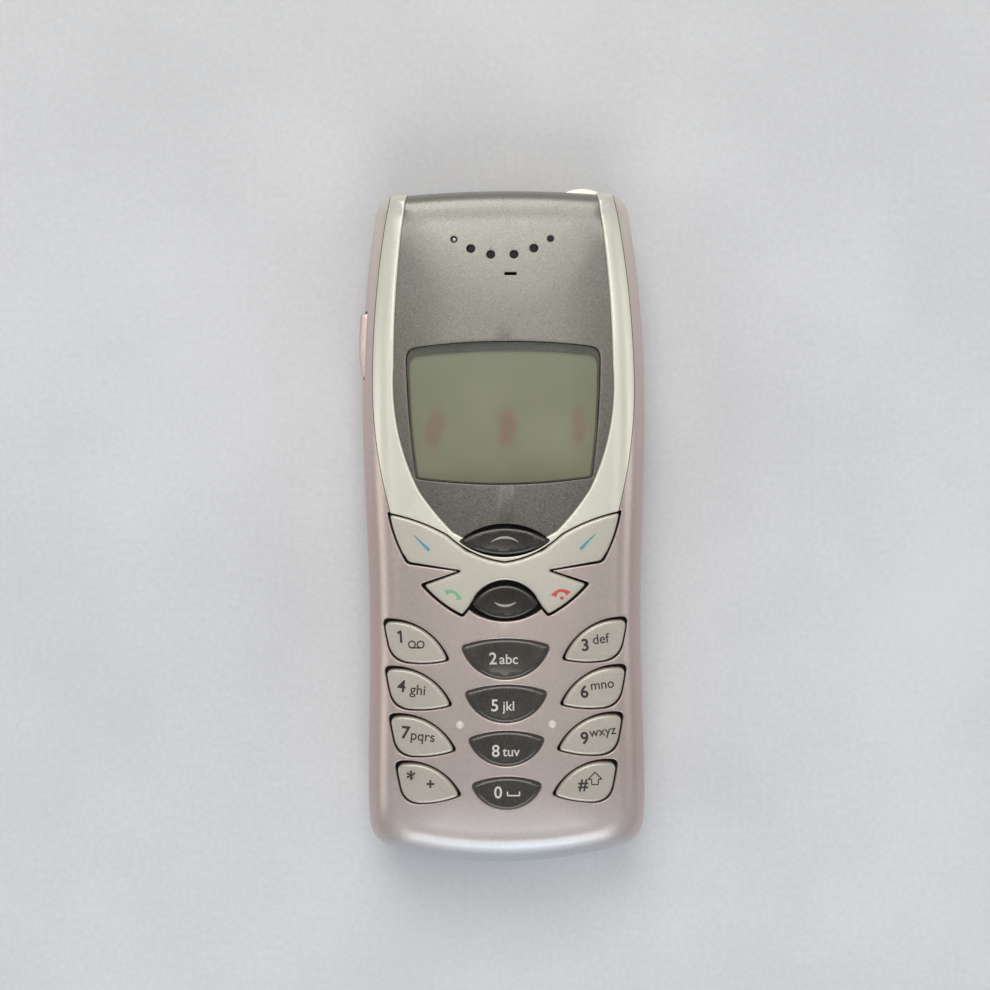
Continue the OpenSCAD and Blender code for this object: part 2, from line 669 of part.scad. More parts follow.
module battery_contacts() color([0.85, 0.7, 0.35]) {
  slab(-5.2, 5.2, bay_y1 + 1.6, bay_y1 + 4.2, 2.6, plate_z - 0.02);
  for (x = [-3, -1, 1, 3]) slab(x - 0.4, x + 0.4, bay_y1 + 0.1, bay_y1 + 1.7, 3.6, 4.8);
}

module sim_holder() color([0.75, 0.75, 0.78]) {
  difference() {
    slab(-14.4, 14.4, bay_y1 + 6.2, bay_y1 + 23.8, 5.6, plate_z - 0.02);
    slab(-12.7, 12.7, bay_y1 + 7.2, bay_y1 + 22.6, 6.15, plate_z + 1);
    slab(-9.5, 9.5, bay_y1 + 9.5, bay_y1 + 20.4, 5, 7);
  }
}

module sim_card() color([0.9, 0.88, 0.8]) {
  difference() {
    slab(-12.5, 12.5, bay_y1 + 7.4, bay_y1 + 22.4, 6.2, 7.0);
    translate([12.5, bay_y1 + 7.4, 0]) rotate([0, 0, 45]) cube([3.6, 3.6, 30], center = true);
  }
}

motor_y = y_top - 19.1;
module vibra_motor() color([0.78, 0.78, 0.8]) {
  translate([-13, motor_y, 4.7]) rotate([0, 90, 0]) cylinder(r = 2.1, h = 9);
  translate([-4.5, motor_y, 4.7]) rotate([0, 90, 0]) cylinder(r = 0.4, h = 4.6);
}

module vibra_weight() color([0.6, 0.58, 0.55]) {
  difference() {
    translate([-3.6, motor_y, 4.7]) rotate([0, 90, 0]) cylinder(r = 2.1, h = 3.4);
    translate([-4.5, motor_y, 4.7]) rotate([0, 90, 0]) cylinder(r = 0.45, h = 6);
    slab(-4.5, 2.5, motor_y - 3.1, motor_y + 2.9, 5.4, 8);
  }
}

module infrared_window() color([0.25, 0.05, 0.1]) {
  slab(-8.0, -2.0, y_top - 2.6, y_top - 0.6, 8.5, 11.1);
}

module infrared_module() color([0.12, 0.1, 0.12]) {
  slab(-8.4, -1.6, y_top - 7, y_top - 2.9, board_z - 2.6, board_z - 0.02);
}

// ---- keys on the edges ------------------------------------------------------------------------
module power_key() color([0.86, 0.86, 0.8]) {
  w = 3.0;
  y0 = y_top - 2.2;
  edge = outline([[power_x - w, y0], [power_x + w, y0], [power_x + w, y_top - 0.95],
    [power_x - w, y_top - 0.75]], [0, 0, 0.45, 0], [0, 0, 0.5, 0.3]);
  prism(edge, power_z - 1.1, power_z + 1.1);
  slab(power_x - 2.2, power_x + 2.2, y_top - 4.45, y0 + 0.1, power_z - 0.55, power_z + 0.9);
}

module power_switch() color([0.7, 0.7, 0.72]) {
  slab(power_x - 1.8, power_x + 1.8, y_top - 8, y_top - 5.6, board_top + 0.02, board_top + 1.5);
  slab(power_x - 0.6, power_x + 0.6, y_top - 5.7, y_top - 4.95, board_top + 0.4, board_top + 1.2);
}

module volume_key() color([0.74, 0.65, 0.62]) {
  x0 = -body_hw + 0.1;
  edge = outline([[x0 + 1.8, volume_y - 4.9], [x0 + 1.8, volume_y + 4.9],
    [x0, volume_y + 4.9], [x0, volume_y - 4.9]], [0, 0, 0.35, 0], [0, 0, 0.6, 0.6]);
  prism(edge, volume_z - 1.2, volume_z + 1.2);
  // pin on which it rocks
  post(volume_x, volume_y, volume_z - 1.85, volume_z - 1.1, volume_pin_r);
  for (m = [-1, 1]) slab(x0 + 1.7, x0 + 2.0, volume_y + m * 3 - 0.5, volume_y + m * 3 + 0.5,
    volume_z - 0.2, volume_z + 0.8);
}

module volume_switches() color([0.7, 0.7, 0.72]) {
  for (m = [-1, 1]) {
    slab(-18.2, -17.0, volume_y + m * 3 - 1.4, volume_y + m * 3 + 1.4, board_top + 0.02,
      board_top + 1.4);
    slab(-18.9, -18.1, volume_y + m * 3 - 0.5, volume_y + m * 3 + 0.5, board_top + 0.3,
      board_top + 1.1);
  }
}

// ---- back cover and its release -------------------------------------------------------------
module cover_cavity(hw, z0, z1, y_end) {
  prism(outline([[-hw, y_end + 3.0], [hw, y_end + 3.0], [hw, far], [-hw, far]],
    [2.9, 0, 0, 0], [1.5, 1.5, 0, 0]), z0, z1);
}

module back_cover() color([0.74, 0.65, 0.62]) {
  difference() {
    loft(back_profile(0, part_z - join_gap));
    slab(-far, far, split_y, far, -1, 20);
    cover_cavity(inner_hw - 1.6, 1.35, 2.4, y_bot + 2.9);
    cover_cavity(inner_hw - 0.6, 2.2, 3.6, y_bot + 2.3);
    cover_cavity(inner_hw, 3.4, 20, y_bot + wall);
    // notch of the release button, open towards the top end
    prism(outline([[-5.8, notch_y], [5.8, notch_y], [5.8, y_top], [-5.8, y_top]],
      [0.6, 0, 0, 0], [1.2, 1.2, 0, 0]), -1, 3);
  }
}

module release_button() color([0.6, 0.6, 0.6]) {
  difference() {
    union() {
      prism(outline([[-5.4, notch_y + 0.45], [5.4, notch_y + 0.45], [5.4, split_y - 0.2],
        [-5.4, split_y - 0.2]], [0.6, 0, 0, 0], [1.1, 1.1, 0.5, 0.5]), 0.25, 1.35);
      slab(-1.9, 1.9, y_top - 8.4, y_top - 6.8, 1.2, 3.7);
    }
    for (i = [0:2]) slab(-3.2, 3.2, y_top - 8.3 + i, y_top - 7.9 + i, 0, 0.5);
  }
}

module latch_spring() color([0.75, 0.75, 0.75]) {
  slab(-1.9, 1.9, y_top - 8.5, y_top - 6.7, 5.0, 5.2);
  slab(-2.1, -1.7, y_top - 8.5, y_top - 6.7, 5.0, 5.58);
  slab(1.7, 2.1, y_top - 8.5, y_top - 6.7, 5.0, 5.58);
}

// ---- placing ----------------------------------------------------------------------------------
front_cover();
bezel_frame();
window_panel();
display_lens();
display_gasket();
lcd_glass();
lcd_frame();
light_guide();
backlight_leds();
keymat();
dome_sheet();
main_board();
board_shields();
earpiece_speaker();
earpiece_gasket();
ringer_buzzer();
microphone();
microphone_boot();
bottom_connector();
connector_contacts();
charger_pin();
chassis();
chassis_screws();
top_cap();
antenna_carrier();
antenna_plate();
battery();
battery_contacts();
sim_holder();
sim_card();
infrared_window();
infrared_module();
vibra_motor();
vibra_weight();
latch_spring();
power_switch();
volume_switches();
backup_cell();
back_cover();
release_button();
power_key();
volume_key();
scroll_up_key();
scroll_down_key();
function_key_pad();
function_key_plate();
side_key(0, -1);  // key_1
mid_key(0);  // key_2
side_key(0, 1);  // key_3
side_key(1, -1);  // key_4
mid_key(1);  // key_5
side_key(1, 1);  // key_6
side_key(2, -1);  // key_7
mid_key(2);  // key_8
side_key(2, 1);  // key_9
side_key(3, -1);  // key_star
mid_key(3);  // key_0
side_key(3, 1);  // key_hash
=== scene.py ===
import math
import bpy
import bmesh
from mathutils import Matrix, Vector
from mathutils.bvhtree import BVHTree
from mathutils.geometry import delaunay_2d_cdt


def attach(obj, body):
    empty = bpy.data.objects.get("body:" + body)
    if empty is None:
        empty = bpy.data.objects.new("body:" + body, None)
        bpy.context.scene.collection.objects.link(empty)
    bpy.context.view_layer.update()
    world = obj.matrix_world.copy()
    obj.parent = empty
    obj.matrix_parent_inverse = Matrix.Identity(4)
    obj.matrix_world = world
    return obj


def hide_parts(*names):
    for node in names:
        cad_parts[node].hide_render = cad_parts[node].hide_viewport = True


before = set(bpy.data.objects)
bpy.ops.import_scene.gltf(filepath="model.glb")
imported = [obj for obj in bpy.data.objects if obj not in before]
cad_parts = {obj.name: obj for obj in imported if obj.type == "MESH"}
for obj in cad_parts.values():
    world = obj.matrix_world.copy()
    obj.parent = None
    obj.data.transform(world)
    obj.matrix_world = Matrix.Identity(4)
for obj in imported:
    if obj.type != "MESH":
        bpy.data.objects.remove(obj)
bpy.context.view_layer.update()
MM = 0.001
PANEL_DROP = 0.28
SOLVER = "MANIFOLD"

# ---- sizes, in mm, as the frame has them -------------------------------------------------------
BODY_L, BODY_HW, WAIST_HW, FOOT_HW, BODY_T, WALL, EDGE_R = 102.4, 21.6, 20.7, 21.1, 17.5, 1.4, 4.7
Y_TOP, Y_BOT = BODY_L / 2, -BODY_L / 2
Y_WIDE, Y_WAIST, Y_FOOT = 19.0, -15.0, -40.0
SIDE_R, FOOT_SIDE_R, TOP_R, BOTTOM_R, CORNER = 178.0, 60.0, 170.0, 66.0, 3.2
PART_Z, CROWN, CROWN_RUN, SPLIT_Y = 7.5, 1.0, 14.0, 46.0
FACE_EDGE_Z = BODY_T - CROWN
ROUND_Z = FACE_EDGE_Z - EDGE_R
PANEL_T, GAP, PROUD, PITCH = 0.7, 0.28, 0.45, 7.15
BOARD_DROP, BOARD_T, LAYER_GAP, MAT_T = 6.1, 0.9, 0.8, 0.5
FLANGE_Z = BODY_T - BOARD_DROP + BOARD_T + LAYER_GAP + MAT_T + LAYER_GAP
RIB_Z = FLANGE_Z + 0.35
END_Y = Y_TOP + 2.0
BACK_RUN, BACK_RISE = 5.0, 4.5
POWER_X, POWER_Z, VOLUME_Y, VOLUME_Z = 12.3, 13.1, 27.5, 12.6
INNER_HW = WAIST_HW - 1.5
JOIN_GAP, SKIN_Z, CUT_LOW, CUT_HIGH = 0.1, 11.4, 12, 20
PLATE_GAP = 0.2
PIP_X, PIP_Y, PIP_R = 6.9, -29.6, 0.7
EAR_Y, EAR_DIP, EAR_SPACING = 40.6, 0.047, 2.9


# ---- plane curves ------------------------------------------------------------------------------
def arc_at(p, q, s, t):
    """Point at fraction t of the arc from p to q whose sagitta is s."""
    p, q = Vector(p), Vector(q)
    if abs(s) < 0.01:
        return p.lerp(q, t)
    d = q - p
    h = d.length / 2
    u = d / (2 * h)
    n = Vector((u.y, -u.x)) * math.copysign(1, s)
    r = (h * h + s * s) / (2 * abs(s))
    c = (p + q) / 2 - n * (r - abs(s))
    a = 2 * math.atan2(abs(s), h) * (2 * t - 1)
    return c + (n * math.cos(a) + u * math.sin(a)) * r


def bend(a, c, b, k):
    """Inner points of the smooth corner from a to b that is pulled towards c."""
    return [a * (1 - t) ** 2 + c * 2 * t * (1 - t) + b * t * t for t in (i / k for i in range(1, k))]


def outline(v, s, r, step=0.35, k=8):
    """Closed curve through corners v, with each edge's sagitta s and each corner's trim r."""
    out, m = [], len(v)
    for i in range(m):
        p, q, w = Vector(v[i]), Vector(v[(i + 1) % m]), Vector(v[(i + 2) % m])
        j = (i + 1) % m
        t0, t1 = r[i] / (q - p).length, 1 - r[j] / (q - p).length
        cuts = max(2, int((q - p).length / step))
        last = cuts if r[j] > 0 else cuts - 1
        out += [arc_at(p, q, s[i], t0 + (t1 - t0) * e / cuts) for e in range(last + 1)]
        if r[j] > 0:
            a, b = arc_at(p, q, s[i], t1), arc_at(q, w, s[j], r[j] / (w - q).length)
            out += bend(a, q, b, k)
    return out


def shift_in(v, d):
    """Corners v moved inward by d, square to both of their edges."""
    out, m = [], len(v)
    for i in range(m):
        p, q, w = Vector(v[i - 1]), Vector(v[i]), Vector(v[(i + 1) % m])
        a, b = (q - p).normalized(), (w - q).normalized()
        a, b = Vector((-a.y, a.x)), Vector((-b.y, b.x))
        out.append(q + (a + b) * d / max(0.35, 1 + a.dot(b)))
    return out


def inset(points, d):
    """Each point moved inward by d along the curve's own normal."""
    out, m = [], len(points)
    for i in range(m):
        t = (points[(i + 1) % m] - points[i - 1]).normalized()
        out.append(points[i] + Vector((-t.y, t.x)) * d)
    return out


def mirrored(v):
    return [(-p[0], p[1]) for p in reversed(v)]


SEAM_V = [(0, -6.6), (8.5, -2.8), (16.9, 1.2), (19.8, 20.7), (16.2, END_Y),
          (-16.2, END_Y), (-19.8, 20.7), (-16.9, 1.2), (-8.5, -2.8)]
SEAM_S = [0, 0, 0.65, 0.85, 0, 0.85, 0.65, 0, 0]
PANEL_V = [(5.5, -2.0), (7.7, -0.8), (12.75, 5.4), (16.45, 24.1), (13.8, END_Y),
           (-13.8, END_Y), (-16.45, 24.1), (-12.75, 5.4), (-7.7, -0.8), (-5.5, -2.0)]
PANEL_S = [0, 0.2, 1.3, 0.6, 0, 0.6, 1.3, 0.2, 0, 0]
WINDOW_V = [(13.2, 7.2), (14.6, 26.8), (-14.6, 26.8), (-13.2, 7.2)]
WINDOW_S, WINDOW_R = [0.35, 0.95, 0.35, 0.95], [0.4, 1.7, 1.7, 0.4]
UP_V, UP_GAP_S = [(-6.8, -2.2), (6.8, -2.2)], [2.4, 2.6]
DOWN_V, DOWN_S = [(-5.0, -11.6), (5.0, -11.6)], [2.2, 2.85]
HALF_V = [(0, -8.0), (4.55, -10.4), (5.3, -11.9), (6.4, -13.2), (12.2, -8.65),
          (6.55, -6.62), (14.5, -5.3), (17.15, 1.85), (8.5, -1.4)]
HALF_S = [-0.62, 0, 0, 0.4, 0, 0, 0.35, 0.4, -0.75]
PLATE_V = HALF_V + [(0, -5.43)] + [(-HALF_V[i][0], HALF_V[i][1]) for i in range(8, 0, -1)]
PLATE_S = HALF_S + [-0.75] + [HALF_S[i] for i in range(7, -1, -1)]
PLATE_R = [0, 0.4, 0, 0.4, 0.6, 0.5, 0.6, 0.4, 0.5, 0, 0.5, 0.4, 0.6, 0.5, 0.6, 0.4, 0, 0.4]


def side_key(i, m):
    """Outline, sagittas and trims of the key in row i, left for m < 0 and right for m > 0."""
    a = (18.45 - 0.185 * i * i, -13.75 - PITCH * i)
    b = (8.35 - 0.3 * i - 0.08 * i * i, -20.0 - (PITCH - 0.4) * i)
    v = [a, b, (a[0] - 1.3, a[1] - 6.2)]
    if m > 0:
        return v, [1.95, 0.55, 0.1], [0.9, 0.5, 2.1]
    return mirrored(v), [0.55, 1.95, 0.1], [2.1, 0.5, 0.9]


def mid_key(i):
    w, y = 6.6 - 0.45 * i, -17.9 - (PITCH - 0.25) * i
    return [(-w, y), (w, y)], [4.95 - 0.4 * i, 1.1], [0.5, 0.5]


def mid_y(i):
    return -19.4 - (PITCH - 0.1) * i


# ---- body surface ------------------------------------------------------------------------------
def blend(a, b, t):
    return (a + b) / 2 + (a - b) / 2 * math.cos(math.pi * t)


def side_x(y):
    """Half width of the body at height y along its length."""
    if y > Y_WIDE:
        return BODY_HW - (y - Y_WIDE) ** 2 / (2 * SIDE_R)
    if y > Y_WAIST:
        return blend(BODY_HW, WAIST_HW, (Y_WIDE - y) / (Y_WIDE - Y_WAIST))
    if y > Y_FOOT:
        return blend(WAIST_HW, FOOT_HW, (Y_WAIST - y) / (Y_WAIST - Y_FOOT))
    return FOOT_HW - (Y_FOOT - y) ** 2 / (2 * FOOT_SIDE_R)


SIDE_CUTS, END_CUTS, BENDS = 110, 44, 12


def ring(d):
    """The body's outline, set in by d."""
    xt, xb = side_x(Y_TOP - d - 2) - d, side_x(Y_BOT + d + 3) - d
    yt, yb = Y_TOP - d - xt * xt / (2 * TOP_R), Y_BOT + d + xb * xb / (2 * BOTTOM_R)
    ct, cb = min(CORNER + 0.2 * d, xt * 0.6), min(CORNER + 0.2 * d, xb * 0.6)
    right = []
    for i in range(SIDE_CUTS + 1):
        y = yb + cb + (yt - ct - yb - cb) * i / SIDE_CUTS
        right.append(Vector((side_x(y) - d, y)))
    ends = [1 - 2 * i / END_CUTS for i in range(END_CUTS + 1)]
    top = [Vector(((xt - ct) * e, Y_TOP - d - ((xt - ct) * e) ** 2 / (2 * TOP_R))) for e in ends]
    foot = [Vector((-(xb - cb) * e, Y_BOT + d + ((xb - cb) * e) ** 2 / (2 * BOTTOM_R))) for e in ends]
    left = [Vector((-p.x, p.y)) for p in reversed(right)]
    return (right + bend(right[-1], Vector((xt, yt)), top[0], BENDS) + top
            + bend(top[-1], Vector((-xt, yt)), left[0], BENDS) + left
            + bend(left[-1], Vector((-xb, yb)), foot[0], BENDS) + foot
            + bend(foot[-1], Vector((xb, yb)), right[0], BENDS))


def front_profile(t, z0, low_cuts=8):
    """Insets and heights from the parting line over the rounded edge onto the crowned face."""
    out = [(t, z0 + (ROUND_Z - z0) * i / low_cuts) for i in range(low_cuts)]
    out += [(t, ROUND_Z)]
    for i in range(1, 17):
        a = math.pi / 2 * i / 16
        c = math.cos(a)
        crease = ROUND_Z + (EDGE_R - t) * (1 - c ** 3.2) ** (1 / 3.2)
        out.append((EDGE_R - (EDGE_R - t) * c, ROUND_Z + (EDGE_R - t) * math.sin(a), crease))
    for i in range(1, 19):
        u = i / 18
        out.append((EDGE_R + CROWN_RUN * u, FACE_EDGE_Z - t + CROWN * (1 - (1 - u) ** 2)))
    return out + [(EDGE_R + CROWN_RUN + 1.0, FACE_EDGE_Z - t + CROWN)]


def back_profile(t, z1):
    """Insets and heights from the flat back round its edge to height z1."""
    out = []
    for i in range(17):
        a = math.pi / 2 * (1 - i / 16)
        out.append((BACK_RUN - (BACK_RUN - t) * math.cos(a), BACK_RISE - (BACK_RISE - t) * math.sin(a)))
    return [(14.0, 0.0), (9.0, 0.0)] + out + [(t, z1)]


# ---- mesh helpers ------------------------------------------------------------------------------
def loft_data(stack):
    """Solid through rings given as (inset, height, height at the top end if it differs)."""
    base = ring(0)
    up = [(base[(i + 1) % len(base)] - base[i - 1]).normalized() for i in range(len(base))]
    part = [min(1.0, max(0.0, (-u.x - 0.75) / 0.23)) for u in up]
    part = [w * w * (3 - 2 * w) for w in part]
    rows = []
    for level in stack:
        d, z, zt = level[0], level[1], level[-1]
        rows.append([Vector((p.x, p.y, z + w * (zt - z))) for p, w in zip(ring(d), part)])
    return rows_data(rows)


def rows_data(rows):
    n, m = len(rows[0]), len(rows)
    faces = [list(range(n - 1, -1, -1)), [(m - 1) * n + i for i in range(n)]]
    for k in range(m - 1):
        for i in range(n):
            j = (i + 1) % n
            faces.append([k * n + i, k * n + j, (k + 1) * n + j, (k + 1) * n + i])
    return [p for row in rows for p in row], faces


def make(name, verts, faces, angle=32):
    mesh = bpy.data.meshes.new(name)
    mesh.from_pydata([[c * MM for c in v] for v in verts], [], faces)
    obj = bpy.data.objects.new(name, mesh)
    bpy.context.scene.collection.objects.link(obj)
    tidy(obj, angle)
    return obj


def tidy(obj, angle=32, weld=0.0):
    """Faces outward, smooth shading with edges above the angle kept sharp."""
    b = bmesh.new()
    b.from_mesh(obj.data)
    if weld:
        bmesh.ops.remove_doubles(b, verts=b.verts, dist=weld * MM)
    bmesh.ops.recalc_face_normals(b, faces=b.faces)
    for f in b.faces:
        f.smooth = True
    for e in b.edges:
        e.smooth = len(e.link_faces) != 2 or e.calc_face_angle(0) < math.radians(angle)
    b.to_mesh(obj.data)
    b.free()


def solid_of(obj):
    """The object's evaluated shape as plain mesh, with its modifiers gone."""
    mesh = bpy.data.meshes.new_from_object(obj.evaluated_get(bpy.context.evaluated_depsgraph_get()))
    obj.modifiers.clear()
    old, obj.data = obj.data, mesh
    bpy.data.meshes.remove(old)


def drop(obj):
    mesh = obj.data
    bpy.data.objects.remove(obj)
    bpy.data.meshes.remove(mesh)


def cut(obj, tools, how="DIFFERENCE", angle=32):
    for tool in tools:
        m = obj.modifiers.new("cut", "BOOLEAN")
        m.operation, m.solver, m.object = how, SOLVER, tool
    solid_of(obj)
    for tool in tools:
        drop(tool)
    tidy(obj, angle, 0.002)
    return obj


def joined(objs, name):
    verts, faces, base = [], [], 0
    for o in objs:
        verts += [v.co / MM for v in o.data.vertices]
        faces += [[i + base for i in p.vertices] for p in o.data.polygons]
        base = len(verts)
        drop(o)
    return make(name, verts, faces)


def prism(points, z0, z1, name="prism"):
    return make(name, *rows_data([[Vector((p.x, p.y, z)) for p in points] for z in (z0, z1)]))


def box(x0, x1, y0, y1, z0, z1, r=0.0):
    pts = [(x0, y0), (x1, y0), (x1, y1), (x0, y1)]
    return prism(outline(pts, [0] * 4, [r] * 4, 50), z0, z1)


def post(x, y, z0, z1, r, n=40):
    pts = [Vector((x + r * math.cos(2 * math.pi * i / n), y + r * math.sin(2 * math.pi * i / n)))
           for i in range(n)]
    return prism(pts, z0, z1)


outer_v, outer_f = loft_data(front_profile(0, PART_Z))
surface = BVHTree.FromPolygons(outer_v, outer_f)


def face_z(x, y):
    hit = surface.ray_cast(Vector((x, y, 40)), Vector((0, 0, -1)))[0]
    return hit.z if hit else ROUND_Z


def lipped(points, r, depth=8.0, follow=face_z, above=3.3):
    """Cutter for an opening whose edge is rounded where it meets the surface, by r or r(point)."""
    rows = [[Vector((p.x, p.y, BODY_T - depth)) for p in points]]
    rs = [r(p) if callable(r) else r for p in points]
    normals = [q - p for p, q in zip(points, inset(points, -1.0))]
    for i in range(7):
        a = math.pi / 2 * i / 6
        row = []
        for p, n, k in zip(points, normals, rs):
            q = p + n * k * (1 - math.cos(a))
            row.append(Vector((q.x, q.y, follow(q.x, q.y) - k + k * math.sin(a))))
        rows.append(row)
    ps = [p + n * (k + 0.01) for p, n, k in zip(points, normals, rs)]
    rows.append([Vector((p.x, p.y, BODY_T + above)) for p in ps])
    return make("lip", *rows_data(rows))


def inside(pt, poly):
    odd, j = False, len(poly) - 1
    for i in range(len(poly)):
        a, b = poly[i], poly[j]
        if (a.y > pt.y) != (b.y > pt.y) and pt.x < (b.x - a.x) * (pt.y - a.y) / (b.y - a.y) + a.x:
            odd = not odd
        j = i
    return odd


def capped(name, points, z0, top, r, step=0.45, turns=6, angle=32):
    """Solid over an outline whose top follows a height function, with its rim rounded by r."""
    core = inset(points, r)
    n = len(points)
    grid = []
    xs, ys = [p.x for p in core], [p.y for p in core]
    x = min(xs) + step / 2
    while x < max(xs):
        y = min(ys) + step / 2
        while y < max(ys):
            q = Vector((x, y))
            if inside(q, core) and min((q - p).length_squared for p in core) > (0.5 * step) ** 2:
                grid.append(q)
            y += step
        x += step
    got = delaunay_2d_cdt(core + grid, [(i, (i + 1) % n) for i in range(n)], [], 1, 1e-6)
    at = {src: k for k, srcs in enumerate(got[3]) for src in srcs}
    verts = [Vector((p.x, p.y, top(p.x, p.y))) for p in got[0]]
    faces = [list(f) for f in got[2]]
    prev = [at[i] for i in range(n)]
    rims = [math.pi / 2 * (1 - k / turns) for k in range(1, turns + 1)]
    rows = [(inset(points, r * (1 - math.cos(a))), r * (1 - math.sin(a))) for a in rims] + [(points, None)]
    for ps, drop_z in rows:
        base = len(verts)
        for p, o in zip(ps, core):
            z = z0 if drop_z is None else top(o.x, o.y) - drop_z
            verts.append(Vector((p.x, p.y, z)))
        row = list(range(base, base + n))
        faces += [[prev[i], row[i], row[(i + 1) % n], prev[(i + 1) % n]] for i in range(n)]
        prev = row
    faces.append(list(reversed(prev)))
    return make(name, verts, faces, angle)


# ---- materials ---------------------------------------------------------------------------------
def lin(rgb):
    return tuple((c / 255 / 12.92) if c < 10.3 else ((c / 255 + 0.055) / 1.055) ** 2.4 for c in rgb) + (1,)


class Val:
    """A node's output that can be written in sums."""

    def __init__(self, mat, socket):
        self.mat, self.socket = mat, socket

    def __add__(self, o):
        return self.mat.math("ADD", self, o)

    def __sub__(self, o):
        return self.mat.math("SUBTRACT", self, o)

    def __rsub__(self, o):
        return self.mat.math("SUBTRACT", o, self)

    def __mul__(self, o):
        return self.mat.math("MULTIPLY", self, o)

    def __truediv__(self, o):
        return self.mat.math("DIVIDE", self, o)

    def __pow__(self, o):
        return self.mat.math("POWER", self, o)

    __radd__, __rmul__ = __add__, __mul__

    def step(self, lo, hi):
        return self.mat.node("MapRange", {"interpolation_type": "SMOOTHSTEP"},
                             {"Value": self, "From Min": lo, "From Max": hi}, "Result")


class Mat:
    def __init__(self, name, **uniform):
        self.m = bpy.data.materials.new(name)
        self.m.use_nodes = True
        self.nodes, self.links = self.m.node_tree.nodes, self.m.node_tree.links
        self.shader = next(n for n in self.nodes if n.type == "BSDF_PRINCIPLED")
        for key, v in uniform.items():
            self.shader.inputs[key.replace("_", " ").title().replace("Ior", "IOR")].default_value = v

    def node(self, kind, settings, inputs, out=0):
        n = self.nodes.new("ShaderNode" + kind)
        for k, v in settings.items():
            setattr(n, k, v)
        for k, v in inputs.items():
            self.feed(n.inputs[k], v)
        return Val(self, n.outputs[out])

    def feed(self, socket, v):
        if isinstance(v, Val):
            self.links.new(v.socket, socket)
        else:
            socket.default_value = v

    def math(self, op, a, b):
        return self.node("Math", {"operation": op}, {0: a, 1: b})

    def place(self, sx=1.0, sy=1.0, sz=1.0):
        """Object coordinates in mm, stretched."""
        c = self.node("TexCoord", {}, {}, "Object")
        return self.node("VectorMath", {"operation": "MULTIPLY"},
                         {0: c, 1: (sx / MM, sy / MM, sz / MM)})

    def axes(self, at):
        n = self.nodes.new("ShaderNodeSeparateXYZ")
        self.feed(n.inputs[0], at)
        return [Val(self, o) for o in n.outputs]

    def noise(self, at, scale, detail=3.0, rough=0.55):
        return self.node("TexNoise", {}, {"Vector": at, "Scale": scale, "Detail": detail,
                                          "Roughness": rough}, 0)

    def cells(self, at, scale):
        colour = self.node("TexVoronoi", {}, {"Vector": at, "Scale": scale}, "Color")
        return self.axes(colour)[0]

    def mix(self, fac, a, b):
        n = self.nodes.new("ShaderNodeMix")
        n.data_type = "RGBA"
        self.feed(n.inputs[0], fac)
        self.feed(n.inputs[6], a)
        self.feed(n.inputs[7], b)
        return Val(self, n.outputs[2])

    def bump(self, height, strength, dist, normal=None):
        ins = {"Height": height, "Strength": strength, "Distance": dist * MM}
        if normal:
            ins["Normal"] = normal
        return self.node("Bump", {}, ins)

    def set(self, **kw):
        for key, v in kw.items():
            self.feed(self.shader.inputs[key.replace("_", " ").title()], v)
        return self.m


def paint(name, rgb, spread, metal, rough, grain, coat=0.35, flake=11.0):
    """Metallic paint: two sizes of flake, slow mottling and a faint orange peel."""
    m = Mat(name, coat_roughness=0.12)
    at = m.place()
    fine, big = m.cells(at, flake), m.cells(at, flake * 0.45)
    mottle = m.noise(at, 0.09, 4.0)
    haze = m.noise(at, 0.9, 3.0)
    dark = lin([c - spread for c in rgb])
    light = lin([min(255, c + spread) for c in rgb])
    tone = (fine - 0.5) * grain + (big - 0.5) * grain * 0.6 + (mottle - 0.5) * 0.5 + 0.5
    colour = m.mix(tone.step(0.0, 1.0), dark, light)
    r = (haze - 0.5) * 0.12 + (fine - 0.5) * 0.1 + (mottle - 0.5) * 0.16 + rough
    peel = m.noise(at, 1.6, 2.0)
    normal = m.bump(fine, 0.18 * grain, 0.012, m.bump(peel, 0.12, 0.02))
    c = (haze - 0.5) * 0.2 + coat
    return m.set(base_color=colour, roughness=r, metallic=(big - 0.5) * 0.1 + metal,
                 coat_weight=c, normal=normal)


def panel_material():
    """Graphite film with a fine even grain, under a painted reflection that runs from dark at its foot to
    light at the top.
    """
    m = Mat("graphite_flake_film", coat_roughness=0.16)
    at = m.place()
    _, y, _ = m.axes(at)
    fine, big = m.cells(at, 9.0), m.cells(at, 5.0)
    mottle, haze = m.noise(at, 0.12, 4.0), m.noise(at, 1.2, 3.0)
    # painted reflection: the base colour runs from dark at the foot to light at the top, standing in for
    # how the light falls on the film
    height = (y + (mottle - 0.5) * 4.0 + 4.0) / 54.0
    low = m.mix(height.step(0.0, 0.55), lin((66, 62, 54)), lin((104, 99, 89)))
    tone = m.mix(height.step(0.45, 1.0), low, lin((128, 127, 119)))
    spark = (fine - 0.5) * 0.4 + (big - 0.5) * 0.16 + 0.5
    dark, light = m.mix(0.2, tone, lin((40, 38, 34))), m.mix(0.2, tone, lin((214, 211, 202)))
    colour = m.mix(spark.step(0.1, 0.9), dark, light)
    normal = m.bump(fine, 0.12, 0.01, m.bump(haze, 0.1, 0.01))
    return m.set(base_color=colour, roughness=(haze - 0.5) * 0.1 + (big - 0.5) * 0.1 + 0.36,
                 metallic=(big - 0.5) * 0.2 + 0.4, coat_weight=(mottle - 0.5) * 0.3 + 0.35,
                 normal=normal)


